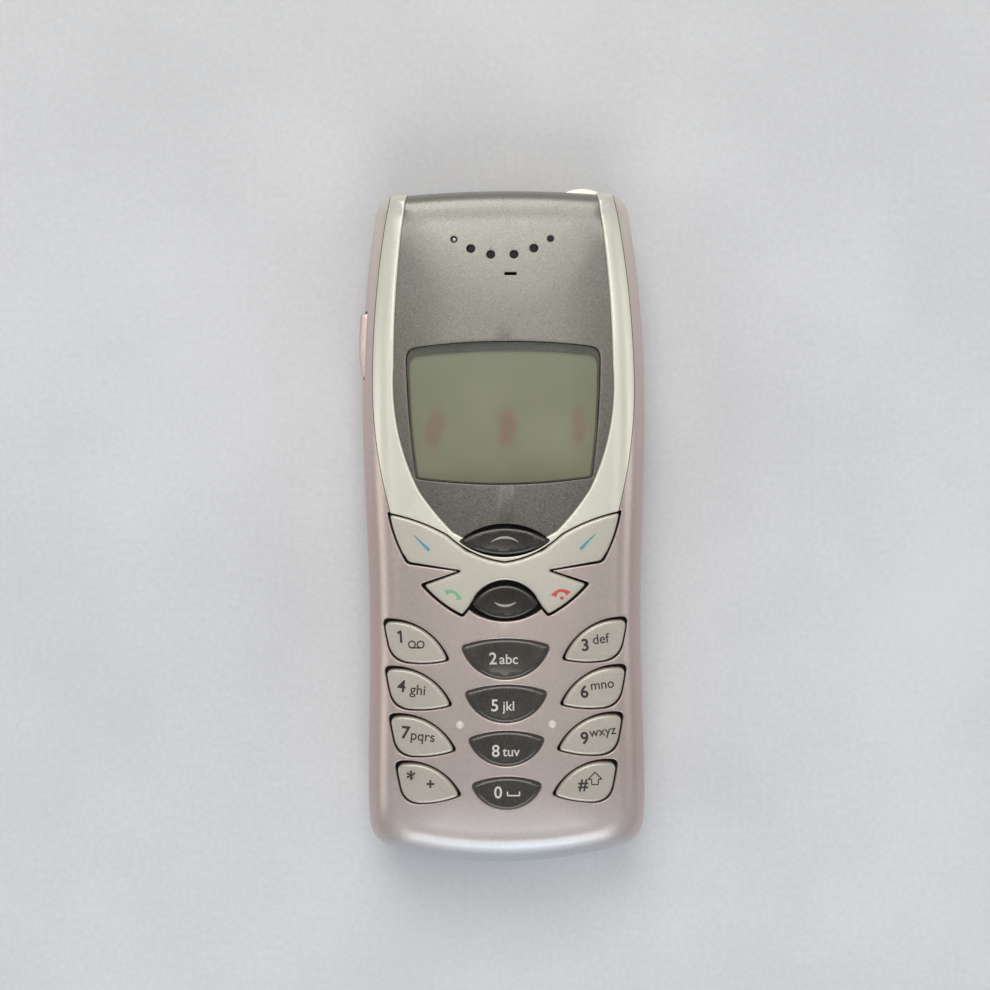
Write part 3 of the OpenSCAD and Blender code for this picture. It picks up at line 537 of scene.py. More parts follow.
def cover_material():
    """Pearl paint: warm silver, pinker at the outer edges, with a painted warm reflection that pales it by
    the bezel, painted brightening towards the foot and a painted bluish reflection along the bottom rim.
    """
    m = Mat("pearl_pink_paint", coat_roughness=0.14)
    at = m.place()
    x, y, _ = m.axes(at)
    fine, big = m.cells(at, 11.0), m.cells(at, 5.0)
    mottle, haze, peel = m.noise(at, 0.09, 4.0), m.noise(at, 0.9, 3.0), m.noise(at, 1.6, 2.0)
    wide = (x * x) ** 0.5 + (mottle - 0.5) * 2.0
    # up masks a painted warm reflection that pales the face towards the top, by the bezel; edge marks the
    # pinker outer sides
    edge, up = wide.step(17.6, 21.3), (y + (mottle - 0.5) * 8.0).step(-6.0, 30.0)
    colour = m.mix(edge * 0.85, lin((186, 170, 163)), lin((190, 160, 158)))
    # painted reflection: the warm pale tone the face takes towards the top, weaker at the pinker outer
    # edges
    painted_sheen_colour = m.mix(edge, lin((232, 224, 210)), lin((206, 184, 180)))
    colour = m.mix(up * 0.85, colour, painted_sheen_colour)
    # painted light: the cover is brightened towards the foot, where the low light falls on it
    foot = (0.0 - y).step(34.0, 49.0)
    colour = m.mix(foot * 0.4, colour, lin((204, 198, 198)))
    # painted reflection: a cool bluish band along the rounded bottom rim, standing in for the cool light
    # it reflects
    painted_rim_reflection = (0.0 - y).step(45.5, 49.5)
    colour = m.mix(painted_rim_reflection * 0.7, colour, lin((168, 178, 186)))
    tone = (fine - 0.5) * 0.34 + (big - 0.5) * 0.2 + (mottle - 0.5) * 0.3 + 0.5
    dark, light = m.mix(0.12, colour, lin((90, 78, 76))), m.mix(0.2, colour, lin((236, 226, 220)))
    colour = m.mix(tone.step(0.1, 0.9), dark, light)
    normal = m.bump(fine, 0.06, 0.01, m.bump(peel, 0.1, 0.02))
    return m.set(base_color=colour, normal=normal, metallic=(big - 0.5) * 0.1 + 0.5,
                 roughness=(haze - 0.5) * 0.12 + (fine - 0.5) * 0.06 + (mottle - 0.5) * 0.1 + 0.36,
                 coat_weight=(haze - 0.5) * 0.2 + 0.35)


def plastic(name, rgb, rough=0.5, grain=3.0, depth=0.02, spread=8, **uniform):
    m = Mat(name, **uniform)
    at = m.place()
    spark, slow = m.noise(at, grain, 4.0), m.noise(at, 0.12, 3.0)
    tone = (slow - 0.5) * 1.2 + (spark - 0.5) * 0.4 + 0.5
    colour = m.mix(tone.step(0.0, 1.0), lin([max(0, c - spread) for c in rgb]),
                   lin([min(255, c + spread) for c in rgb]))
    return m.set(base_color=colour, roughness=(slow - 0.5) * 0.25 + (spark - 0.5) * 0.1 + rough,
                 normal=m.bump(spark, 0.3, depth))


def metal(name, rgb, rough=0.3, brush=(0.4, 9.0, 9.0), spread=10):
    m = Mat(name)
    at, drawn = m.place(), m.place(*brush)
    lines, slow = m.noise(drawn, 1.4, 3.0), m.noise(at, 0.25, 3.0)
    colour = m.mix((lines * 0.5 + slow * 0.5).step(0.3, 0.7), lin([max(0, c - spread) for c in rgb]),
                   lin([min(255, c + spread) for c in rgb]))
    return m.set(base_color=colour, roughness=(lines - 0.5) * 0.2 + (slow - 0.5) * 0.15 + rough,
                 metallic=(slow - 0.5) * 0.05 + 0.96, normal=m.bump(lines, 0.25, 0.01))


def lens_material():
    m = Mat("lens_clear", ior=1.5)
    at = m.place()
    smear, fine = m.noise(at, 0.16, 5.0), m.noise(at, 2.5, 3.0)
    return m.set(base_color=m.mix(smear.step(0.3, 0.7), lin((150, 150, 132)), lin((170, 170, 152))),
                 roughness=(smear - 0.5) * 0.1 + 0.09, alpha=(smear - 0.5) * 0.06 + 0.1,
                 normal=m.bump(fine, 0.05, 0.01))


def display_material():
    """Grey-green glass with three faint brown stains, darker and greener towards its top."""
    m = Mat("display_grey_green", ior=1.5)
    at = m.place()
    x, y, _ = m.axes(at)
    wob = (m.noise(at, 0.35, 4.0) - 0.5) * 2.6
    slow = m.noise(at, 0.1, 3.0)
    colour = m.mix(slow.step(0.3, 0.7), lin((118, 121, 90)), lin((128, 130, 100)))
    colour = m.mix((y + wob * 0.4).step(9.0, 27.0) * 0.5, colour, lin((112, 118, 90)))
    for cx, cy, wide, tall, k in ((-10.4, 14.6, 2.1, 4.6, 0.5), (0.4, 14.8, 2.3, 4.4, 0.6),
                                  (11.3, 14.9, 2.0, 4.6, 0.5)):
        dx, dy = (x + wob - cx) / wide, (y + wob * 0.8 - cy) / tall
        spot = (1.0 - (dx * dx + dy * dy) ** 0.5).step(0.0, 0.8)
        colour = m.mix(spot * (k + 0.25), colour, lin((128, 88, 74)))
    cell = m.node("TexChecker", {}, {"Vector": at, "Scale": 2.2}, "Fac")
    return m.set(base_color=colour, roughness=(slow - 0.5) * 0.1 + 0.34,
                 normal=m.bump(cell, 0.05, 0.004))


def board_material():
    m = Mat("board_green", coat_roughness=0.2)
    at = m.place()
    tracks = m.node("TexWave", {"bands_direction": "DIAGONAL"},
                    {"Vector": at, "Scale": 0.7, "Distortion": 6.0, "Detail": 2.0}, "Fac")
    fleck = m.noise(at, 2.0, 4.0)
    colour = m.mix(tracks.step(0.45, 0.6), lin((24, 70, 44)), lin((44, 104, 66)))
    return m.set(base_color=m.mix(fleck * 0.25, colour, lin((90, 130, 90))),
                 roughness=(fleck - 0.5) * 0.2 + 0.42, coat_weight=0.3, normal=m.bump(tracks, 0.3, 0.02))


def floor_material():
    m = Mat("floor_paper")
    at = m.place()
    pulp, slow = m.noise(at, 1.1, 6.0), m.noise(at, 0.02, 3.0)
    colour = m.mix((pulp * 0.4 + slow * 0.6).step(0.3, 0.7), lin((206, 206, 208)), lin((220, 220, 222)))
    return m.set(base_color=colour, roughness=(pulp - 0.5) * 0.1 + 0.75, normal=m.bump(pulp, 0.2, 0.03))


M = {
    "cover": cover_material(),
    "pip": paint("pip_paint", (222, 214, 208), 8, 0.3, 0.58, 0.2, 0.1),
    "bezel": paint("silver_white_paint", (226, 223, 209), 8, 0.35, 0.36, 0.24),
    "panel": panel_material(),
    "key_silver": paint("key_silver_paint", (190, 182, 170), 10, 0.35, 0.36, 0.4),
    "key_dark": paint("key_graphite_paint", (66, 62, 56), 12, 0.4, 0.3, 0.7, 0.5),
    "scroll": paint("scroll_graphite_paint", (48, 45, 40), 10, 0.4, 0.26, 0.7, 0.6),
    "function": paint("function_silver_paint", (200, 194, 181), 8, 0.35, 0.36, 0.3),
    "ink_dark": plastic("ink_dark", (44, 42, 40), 0.5, 6.0, 0.004, 5),
    "ink_pale": plastic("ink_pale", (205, 203, 192), 0.5, 6.0, 0.004, 8),
    "ink_mark": plastic("ink_mark", (158, 156, 146), 0.5, 6.0, 0.004, 8),
    "ink_teal": plastic("ink_teal", (86, 152, 164), 0.5, 6.0, 0.004, 8),
    "ink_green": plastic("ink_green", (126, 176, 136), 0.5, 6.0, 0.004, 8),
    "ink_red": plastic("ink_red", (196, 70, 66), 0.5, 6.0, 0.004, 8),
    "lens": lens_material(),
    "lcd": display_material(),
    # painted shadow: the dark look of the sheet behind the display lens, which stands in for the shade in
    # the window recess
    "painted_shadow_sheet": plastic("painted_shadow_sheet_dark", (24, 24, 20), 0.5, 4.0, 0.005, 6),
    "rubber": plastic("black_rubber", (26, 26, 27), 0.7, 5.0, 0.03, 5),
    "silicone": plastic("silicone", (52, 52, 50), 0.55, 2.0, 0.03, 6),
    "dark": plastic("dark_plastic", (32, 32, 34), 0.5, 5.0, 0.02, 6),
    "grey": plastic("grey_plastic", (92, 92, 94), 0.5, 5.0, 0.03, 8),
    "white": plastic("white_plastic", (206, 205, 196), 0.45, 4.0, 0.02, 8),
    "guide": plastic("light_guide", (190, 200, 170), 0.3, 2.0, 0.01, 8),
    "foil": plastic("polyester_sheet", (188, 180, 150), 0.3, 3.0, 0.02, 10),
    "card": plastic("card_plastic", (222, 218, 200), 0.4, 3.0, 0.01, 6),
    "wrap": plastic("battery_case", (66, 68, 76), 0.45, 3.0, 0.02, 8),
    "red": plastic("infrared_filter", (46, 12, 18), 0.12, 1.0, 0.005, 6),
    "board": board_material(),
    "steel": metal("bright_steel", (176, 176, 180)),
    "tin": metal("tin_plate", (190, 190, 194), 0.38, (3.0, 3.0, 3.0)),
    "gold": metal("gold_plate", (212, 176, 96), 0.25),
    "tungsten": metal("sintered_metal", (120, 116, 112), 0.55, (2.0, 2.0, 2.0)),
}
CAD_LOOK = {
    "lcd_glass": "lcd", "display_gasket": "rubber", "lcd_frame": "white", "light_guide": "guide",
    "backlight_leds": "white", "keymat": "silicone", "dome_sheet": "foil", "main_board": "board",
    "board_shields": "tin", "earpiece_speaker": "dark", "earpiece_gasket": "rubber",
    "ringer_buzzer": "dark", "microphone": "tin", "microphone_boot": "rubber",
    "bottom_connector": "dark", "connector_contacts": "gold", "charger_pin": "steel",
    "chassis": "grey", "chassis_screws": "steel", "antenna_carrier": "white",
    "antenna_plate": "gold", "battery": "wrap", "battery_contacts": "gold", "sim_holder": "steel",
    "sim_card": "card", "infrared_window": "red", "infrared_module": "dark",
    "vibra_motor": "steel", "vibra_weight": "tungsten", "latch_spring": "steel",
    "power_switch": "tin", "volume_switches": "tin", "backup_cell": "steel",
    "function_key_pad": "silicone",
}


def dress(obj, look, body, node=None, slot=None):
    """Gives a piece its look, the body it rides on and the node it stands for."""
    obj.data.materials.clear()
    obj.data.materials.append(M[look])
    for p in obj.data.polygons:
        p.material_index = 0
    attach(obj, body)
    if node:
        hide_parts(node)
    return obj


# ---- covers ------------------------------------------------------------------------------------
def lowered(k):
    return lambda x, y: face_z(x, y) - k


def skin(name, t0, t1, z0):
    return make(name, *loft_data(list(reversed(front_profile(t1, z0, 2))) + front_profile(t0, z0, 2)))


EARS = [(m * x, EAR_Y + EAR_DIP * x * x, r) for x, r in ((1.74, 0.63), (4.72, 0.63), (7.25, 0.5))
        for m in (-1, 1)]


def front_cover():
    obj = skin("front_cover_shell", 0, WALL, PART_Z)
    seam = outline(SEAM_V, SEAM_S, [0] * 9, 0.5)
    well = skin("well", -3.0, PANEL_T + 0.12, 11.3)
    well = cut(well, [lipless(seam, 11.3)], "INTERSECT")
    tools = [well, prism(outline(shift_in(WINDOW_V, -0.3), WINDOW_S, WINDOW_R), CUT_LOW, CUT_HIGH)]
    tools.append(box(0.0, 2.4, 37.3, 38.35, CUT_LOW, CUT_HIGH))
    tools += [post(x, y, CUT_LOW, CUT_HIGH, r + 0.15) for x, y, r in EARS]
    keys = []
    for i in range(4):
        keys += [lipped(outline(*side_key(i, m)), 0.22) for m in (-1, 1)]
        keys.append(lipped(outline(*mid_key(i)), 0.26))
    plate = outline(shift_in(PLATE_V, -GAP), PLATE_S, PLATE_R)
    keys.append(lipped(plate, lambda p: 0.05 if abs(p.x) < 6.9 else 0.2))
    down = outline([(-6.4, -11.6), (6.4, -11.6)], [2.6, 3.6], [0, 0])
    keys.append(lipped(down, lambda p: 0.04 if p.y > -12.6 else 0.24))
    keys.append(prism(outline(UP_V, UP_GAP_S, [0, 0]), CUT_LOW, CUT_HIGH))
    keys.append(box(POWER_X - 3.2, POWER_X + 3.2, 45.5, Y_TOP + 2, POWER_Z - 1.3, POWER_Z + 1.3, 0.3))
    keys.append(box(-BODY_HW - 2, -BODY_HW + 3, VOLUME_Y - 5.2, VOLUME_Y + 5.2, VOLUME_Z - 1.5,
                    VOLUME_Z + 1.5, 0.3))
    keys.append(box(-8.2, -1.8, SPLIT_Y, Y_TOP + 2, 8.3, 11.3, 0.3))
    keys.append(box(-12.8, 12.8, Y_BOT - 2, Y_BOT + 3.2, 7.7, 12.4, 0.3))
    cut(obj, tools + keys)
    return dress(obj, "cover", "phone", "front_cover", "cover_paint")


def lipless(points, z0):
    """Cutter with straight walls that reaches above the face."""
    return prism(points, z0, 24)


def pips():
    parts = []
    for m in (-1, 1):
        n, rows, z = 28, [], face_z(PIP_X, PIP_Y)
        for i in range(16):
            a = math.pi / 2 * i / 15.6
            rows.append([Vector((m * PIP_X + PIP_R * math.cos(a) * math.cos(2 * math.pi * k / n),
                                 PIP_Y + PIP_R * math.cos(a) * math.sin(2 * math.pi * k / n),
                                 z - 0.12 + 0.5 * math.sin(a))) for k in range(n)])
        parts.append(make("pip", *rows_data(rows)))
    dress(joined(parts, "locating_pips"), "pip", "phone")


def bezel_frame():
    obj = skin("bezel_frame_skin", 0, PANEL_T, SKIN_Z)
    tools = [lipped(outline(PANEL_V, PANEL_S, [0] * 10, 0.3), 0.3, 8, face_z)]
    tools.append(lipped(outline(shift_in(PLATE_V, -PLATE_GAP), PLATE_S, PLATE_R), 0.1))
    tools.append(lipped(outline(UP_V, UP_GAP_S, [0, 0]), 0.12))
    cut(obj, [lipless(outline(shift_in(SEAM_V, 0.1), SEAM_S, [0] * 9, 0.5), 11)], "INTERSECT")
    cut(obj, tools)
    return dress(obj, "bezel", "phone", "bezel_frame", "bezel_silver")


def window_panel():
    obj = skin("window_panel_skin", PANEL_DROP, PANEL_T + 0.05, SKIN_Z)
    cut(obj, [lipless(outline(shift_in(PANEL_V, 0.07), PANEL_S, [0] * 10, 0.3), 11)], "INTERSECT")
    tools = [lipped(outline(WINDOW_V, WINDOW_S, WINDOW_R), 0.16, 8, lowered(PANEL_DROP))]
    tools.append(lipped(outline(UP_V, UP_GAP_S, [0, 0]), 0.12, 8, lowered(PANEL_DROP)))
    for x, y, r in EARS:
        n = 36
        pts = [Vector((x + r * math.cos(2 * math.pi * i / n), y + r * math.sin(2 * math.pi * i / n)))
               for i in range(n)]
        tools.append(lipped(pts, 0.1, 8, lowered(PANEL_DROP)))
    slot = [(0.3, 37.6), (2.1, 37.6), (2.1, 38.05), (0.3, 38.05)]
    tools.append(lipped(outline(slot, [0] * 4, [0.15] * 4, 0.3), 0.06, 8, lowered(PANEL_DROP)))
    cut(obj, tools)
    return dress(obj, "panel", "phone", "window_panel", "panel_graphite")


def bead():
    """A shiny grain that blocks the leftmost earpiece hole."""
    x, y, n, rows = -7.2, 43.05, 24, []
    for i in range(1, 12):
        a = math.pi * (i / 12 - 0.5)
        rows.append([Vector((x + 0.4 * math.cos(a) * math.cos(2 * math.pi * k / n),
                             y + 0.4 * math.cos(a) * math.sin(2 * math.pi * k / n),
                             face_z(x, y) - 0.65 + 0.3 * math.sin(a))) for k in range(n)])
    dress(make("earpiece_bead", *rows_data(rows)), "steel", "phone")


def display():
    pts = outline(shift_in(WINDOW_V, 0.08), WINDOW_S, WINDOW_R)
    lens = capped("display_lens_plate", pts, 15.95, lowered(0.4), 0.1, 1.2)
    dress(lens, "lens", "phone", "display_lens", "lens_clear")
    film = prism(outline(shift_in(WINDOW_V, 0.2), WINDOW_S, WINDOW_R), 15.3, 15.4)
    film.name = "display_film"
    dress(film, "lcd", "phone")
    # painted shadow: a dark sheet behind the lens, with a broad band along the top, standing in for the
    # shade the window's edge casts into the recess
    painted_shadow_sheet = prism(outline(shift_in(WINDOW_V, 0.14), WINDOW_S, WINDOW_R), 15.75, 15.8)
    hole = [(12.9, 7.5), (14.1, 25.55), (-14.1, 25.55), (-12.9, 7.5)]
    cut(painted_shadow_sheet, [prism(outline(hole, [0.35, 0.85, 0.35, 0.95], [0.3, 1.4, 1.4, 0.3]), 15, 17)])
    painted_shadow_sheet.name = "display_painted_shadow_sheet"
    dress(painted_shadow_sheet, "painted_shadow_sheet", "phone")


def ear_gauze():
    """Six small dark discs under the earpiece holes, one repeated by geometry nodes."""
    tree = bpy.data.node_groups.new("row_of_discs", "GeometryNodeTree")
    tree.interface.new_socket("Geometry", in_out="OUTPUT", socket_type="NodeSocketGeometry")
    sizes = (("Spacing", EAR_SPACING), ("Dip", EAR_DIP), ("Low", EAR_Y), ("Height", BODY_T - 1.2))
    for label, value in sizes:
        s = tree.interface.new_socket(label, in_out="INPUT", socket_type="NodeSocketFloat")
        s.default_value = value

    def node(kind, settings=None, **ins):
        n = tree.nodes.new(kind)
        for k, v in (settings or {}).items():
            setattr(n, k, v)
        for k, v in ins.items():
            numbered = k[0] == "i" and k[1:].isdigit()
            sock = n.inputs[int(k[1:]) if numbered else k]
            if hasattr(v, "is_linked"):
                tree.links.new(v, sock)
            else:
                sock.default_value = v
        return n

    given = tree.nodes.new("NodeGroupInput")

    def times(a, b, op="MULTIPLY"):
        return node("ShaderNodeMath", {"operation": op}, i0=a, i1=b).outputs[0]

    line = node("GeometryNodeMeshLine", {}, Count=6)
    index = node("GeometryNodeInputIndex").outputs[0]
    x = times(times(index, 2.5, "SUBTRACT"), given.outputs["Spacing"])
    y = times(times(times(x, x), given.outputs["Dip"]), given.outputs["Low"], "ADD")
    spot = node("ShaderNodeCombineXYZ", i0=times(x, MM), i1=times(y, MM),
                i2=times(given.outputs["Height"], MM)).outputs[0]
    laid = node("GeometryNodeSetPosition", Geometry=line.outputs[0], Position=spot)
    disc = node("GeometryNodeMeshCylinder", Vertices=32, Radius=0.85 * MM, Depth=0.2 * MM)
    put = node("GeometryNodeInstanceOnPoints", Points=laid.outputs[0], Instance=disc.outputs[0])
    real = node("GeometryNodeRealizeInstances", Geometry=put.outputs[0])
    coat = node("GeometryNodeSetMaterial", Geometry=real.outputs[0], Material=M["rubber"])
    out = tree.nodes.new("NodeGroupOutput")
    tree.links.new(coat.outputs[0], out.inputs[0])
    mesh = bpy.data.meshes.new("earpiece_gauze")
    obj = bpy.data.objects.new("earpiece_gauze", mesh)
    bpy.context.scene.collection.objects.link(obj)
    mod = obj.modifiers.new("row", "NODES")
    mod.node_group = tree
    for item in tree.interface.items_tree:
        if item.in_out == "INPUT" and item.name == "Spacing":
            mod[item.identifier] = EAR_SPACING
    solid_of(obj)
    tidy(obj)
    dress(obj, "rubber", "phone")


def back_parts():
    obj = make("back_cover_shell", *loft_data(back_profile(0, PART_Z - JOIN_GAP)))

    def cavity(hw, z0, z1, y_end):
        v = [(-hw, y_end + 3.0), (hw, y_end + 3.0), (hw, 60), (-hw, 60)]
        return prism(outline(v, [2.9, 0, 0, 0], [1.5, 1.5, 0, 0], 0.8), z0, z1)

    notch = [(-5.8, 41.5), (5.8, 41.5), (5.8, 50), (-5.8, 50)]
    cut(obj, [box(-40, 40, SPLIT_Y, 70, -1, 20),
              cavity(INNER_HW - 1.6, 1.35, 2.4, Y_BOT + 2.9),
              cavity(INNER_HW - 0.6, 2.2, 3.6, Y_BOT + 2.3),
              cavity(INNER_HW, 3.4, 20, Y_BOT + WALL),
              prism(outline(notch, [0.6, 0, 0, 0], [1.2, 1.2, 0, 0]), -1, 3)])
    dress(obj, "cover", "back_cover_body", "back_cover", "cover_paint")
    cap = make("top_cap_shell", *loft_data(back_profile(0, PART_Z - JOIN_GAP)))
    cut(cap, [box(-40, 40, -70, SPLIT_Y + 0.3, -1, 20), box(-16, 16, SPLIT_Y, 49, 1.4, 20)])
    tongue = box(-12, 12, 45.65, 49.3, 5.6, 7.0, 0.3)
    dress(joined([cap, tongue], "top_cap_shell"), "grey", "phone", "top_cap", "grey_plastic")
    pts = [(-5.4, 41.95), (5.4, 41.95), (5.4, SPLIT_Y - 0.2), (-5.4, SPLIT_Y - 0.2)]
    pts = outline(pts, [0.6, 0, 0, 0], [1.1, 1.1, 0.5, 0.5], 0.3)
    flip = capped("release_button_slab", [Vector((p.x, p.y)) for p in pts], -1.35,
                  lambda x, y: -0.25 - 0.12 * math.cos(math.pi * (y - 41.9) * 2), 0.25, 0.16)
    for v in flip.data.vertices:
        v.co.z = -v.co.z
    tidy(flip)
    stem = box(-1.9, 1.9, 42.8, 44.4, 1.3, 3.7, 0.2)
    dress(joined([flip, stem], "release_button_shell"), "grey", "release_button_body",
          "release_button", "grey_plastic")


# ---- keys --------------------------------------------------------------------------------------
def side_top(x, y):
    return BODY_T + PROUD - 150 + math.sqrt(150 ** 2 - x * x)


def bowl(cy, lift, r):
    def top(x, y):
        flat = BODY_T + PROUD
        d2 = x * x + (y - cy) ** 2
        dip = flat + lift - math.sqrt(max(0.0, r * r - d2))
        return min(flat, dip) if d2 < r * r else flat
    return top


def plate_top(x, y):
    return BODY_T + PROUD - 131 + math.sqrt(131 ** 2 - x * x)


def stem(x, y):
    return post(x, y, FLANGE_Z - 0.7, FLANGE_Z + 0.3, 1.0)


def word(text, x, y, size, turn, top, heavy=0.0):
    """Letters as a thin solid that lies on a key's top, centred on x, y."""
    c = bpy.data.curves.new("word", "FONT")
    c.body, c.size, c.align_x, c.align_y = text, size * MM, "CENTER", "CENTER"
    c.extrude, c.offset, c.resolution_u = 0.015 * MM, heavy * MM, 6
    o = bpy.data.objects.new("word", c)
    bpy.context.scene.collection.objects.link(o)
    mesh = bpy.data.meshes.new_from_object(o.evaluated_get(bpy.context.evaluated_depsgraph_get()))
    bpy.data.objects.remove(o)
    bpy.data.curves.remove(c)
    b = bmesh.new()
    b.from_mesh(mesh)
    bmesh.ops.remove_doubles(b, verts=b.verts, dist=0.001 * MM)
    ca, sa = math.cos(math.radians(turn)), math.sin(math.radians(turn))
    for v in b.verts:
        px, py = v.co.x / MM, v.co.y / MM
        wx, wy = x + px * ca - py * sa, y + px * sa + py * ca
        v.co = Vector((wx, wy, top(wx, wy) + 0.012 + v.co.z / MM)) * MM
    b.to_mesh(mesh)
    b.free()
    out = bpy.data.objects.new("word", mesh)
    bpy.context.scene.collection.objects.link(out)
    return out


def strip(points, wide, top, closed=False):
    """A printed stroke of a given width along points."""
    n = len(points)
    left, right = [], []
    for i, p in enumerate(points):
        a, b = points[max(0, i - 1)], points[min(n - 1, i + 1)]
        if closed:
            a, b = points[i - 1], points[(i + 1) % n]
        t = (b - a).normalized()
        w = wide(i / (n - 1)) if callable(wide) else wide
        left.append(p + Vector((-t.y, t.x)) * w / 2)
        right.append(p - Vector((-t.y, t.x)) * w / 2)
    verts, faces = [], []
    for dz in (-0.01, 0.03):
        for side in (left, right):
            verts += [Vector((p.x, p.y, top(p.x, p.y) + dz)) for p in side]
    for i in range(n if closed else n - 1):
        j = (i + 1) % n
        faces += [[i, j, n + j, n + i], [2 * n + i, 3 * n + i, 3 * n + j, 2 * n + j],
                  [i, 2 * n + i, 2 * n + j, j], [n + i, n + j, 3 * n + j, 3 * n + i]]
    if not closed:
        faces += [[0, n, 3 * n, 2 * n], [n - 1, 3 * n - 1, 4 * n - 1, 2 * n - 1]]
    return make("stroke", verts, faces)


def path(*pts, step=0.15):
    out = []
    for a, b in zip(pts, pts[1:]):
        a, b = Vector(a), Vector(b)
        k = max(2, int((b - a).length / step))
        out += [a.lerp(b, i / k) for i in range(k)]
    return out + [Vector(pts[-1])]


def curve(cx, cy, r, a0, a1, n=24, squash=1.0):
    return [Vector((cx + r * math.cos(math.radians(a0 + (a1 - a0) * i / n)),
                    cy + squash * r * math.sin(math.radians(a0 + (a1 - a0) * i / n))))
            for i in range(n + 1)]


LEGENDS = {
    "key_1": (0, -1, []),
    "key_4": (1, -1, [("4", -15.6, -23.85, 2.4, -6), ("ghi", -13.15, -24.4, 2.1, -6)]),
    "key_7": (2, -1, [("7", -15.1, -30.8, 2.6, -6), ("pqrs", -12.5, -31.3, 2.1, -6)]),
    "key_star": (3, -1, [("*", -14.3, -37.7, 3.0, 0), ("+", -11.4, -38.5, 2.2, 0)]),
    "key_3": (0, 1, [("3", 11.9, -17.9, 2.5, 6), ("def", 14.2, -17.0, 2.0, 6)]),
    "key_6": (1, 1, [("6", 11.7, -24.9, 2.5, 6), ("mno", 14.4, -23.8, 2.0, 6)]),
    "key_9": (2, 1, [("9", 11.7, -31.8, 2.5, 6), ("wxyz", 14.4, -30.8, 1.95, 6)]),
    "key_hash": (3, 1, [("#", 11.4, -38.7, 2.4, 0)]),
    "key_2": (0, 0, [("2", -1.9, -19.8, 2.5, 0), ("abc", 0.45, -19.9, 2.1, 0)]),
    "key_5": (1, 0, [("5", -1.7, -26.8, 2.5, 0), ("jkl", 0.4, -26.9, 2.0, 0)]),
    "key_8": (2, 0, [("8", -1.6, -33.6, 2.5, 0), ("tuv", 0.7, -33.7, 2.0, 0)]),
    "key_0": (3, 0, [("0", -1.3, -39.8, 2.5, 0)]),
}


def digit_keys():
    for name, (i, m, words) in LEGENDS.items():
        if m:
            v, s, r = side_key(i, m)
            pts = outline(shift_in(v, GAP), s, r, 0.3)
            cap = capped(name + "_cap", pts, FLANGE_Z, side_top, 0.38)
            top, look, slot = side_top, "key_silver", "key_silver"
            foot = stem(m * (13.9 - 0.3 * i), -17.6 - (PITCH - 0.1) * i)
        else:
            v, s, r = mid_key(i)
            top, look, slot = bowl(mid_y(i), 21.6, 22.0), "key_dark", "key_graphite"
            pts = outline(shift_in(v, GAP + 0.12), s, r, 0.3)
            cap = capped(name + "_cap", pts, FLANGE_Z, top, 0.5)
            foot = stem(0, mid_y(i))
        dress(joined([cap, foot], name + "_cap"), look, name + "_body", name, slot)
        prints = [word(t, x, y, size, turn, top, (0.06 if m else 0.03) if len(t) == 1 else 0.015)
                  for t, x, y, size, turn in words]
        if name == "key_1":
            prints.append(strip(path((-16.15, -15.9), (-15.7, -15.55), (-15.6, -17.3)), 0.34, top))
            prints += [strip(curve(x, -17.55, 0.5, 0, 345), 0.2, top, True) for x in (-14.0, -12.7)]
            prints.append(strip(path((-14.0, -18.05), (-12.7, -18.05)), 0.2, top))
        if name == "key_0":
            prints.append(strip(path((0.1, -39.6), (0.1, -40.2), (1.9, -40.2), (1.9, -39.6)), 0.2, top))
        if name == "key_hash":
            arrow = path((12.7, -38.7), (12.7, -37.9), (12.15, -37.9), (13.2, -36.85), (14.25, -37.9),
                         (13.7, -37.9), (13.7, -38.7))
            prints.append(strip(arrow, 0.17, top, True))
        ink = joined(prints, name + "_print")
        dress(ink, "ink_dark" if m else "ink_pale", name + "_body")


def handset(cx, cy, turn, top):
    """Small handset sign: an arc with two swollen ends."""
    body = curve(0, -1.0, 1.25, 28, 152, 30)
    ca, sa = math.cos(math.radians(turn)), math.sin(math.radians(turn))
    pts = [Vector((cx + p.x * ca - p.y * sa, cy + p.x * sa + p.y * ca)) for p in body]
    return strip(pts, lambda t: 0.44 + 0.5 * abs(2 * t - 1) ** 3.0, top)


def function_keys():
    plate = outline(PLATE_V, PLATE_S, PLATE_R, 0.3)
    low = [0.1 if p.y < -2.6 - 0.1 * abs(p.x) and abs(p.x) > 5 else 0.0 for p in plate]
    low = [(low[i - 1] + low[i] + low[(i + 1) % len(low)]) / 3 for i in range(len(low))]
    unit = [q - p for p, q in zip(plate, inset(plate, 1.0))]
    plate = [p + n * k for p, n, k in zip(plate, unit, low)]
    cap = capped("function_plate_cap", plate, RIB_Z + 0.35, plate_top, 0.36, 0.5)
    rib = box(-0.33, 0.33, -7.6, -5.8, RIB_Z - 0.1, RIB_Z + 0.5)
    dress(joined([cap, rib], "function_plate_cap"), "function", "function_key_plate_body",
          "function_key_plate", "function_silver")
    for m in (-1, 1):
        slash = strip(path((m * 13.6, -1.2), (m * 11.3, -3.5)), lambda t: 0.12 + 0.42 * t, plate_top)
        slash.name = "soft_key_mark_" + ("l" if m < 0 else "r")
        dress(slash, "ink_teal", "function_key_plate_body")
    call = handset(-7.7, -10.0, -28, plate_top)
    call.name = "call_mark"
    dress(call, "ink_green", "function_key_plate_body")
    end = joined([handset(8.3, -9.9, 8, plate_top),
                  strip(curve(8.45, -10.75, 0.14, 0, 330, 16), 0.26, plate_top, True)], "end_mark")
    dress(end, "ink_red", "function_key_plate_body")


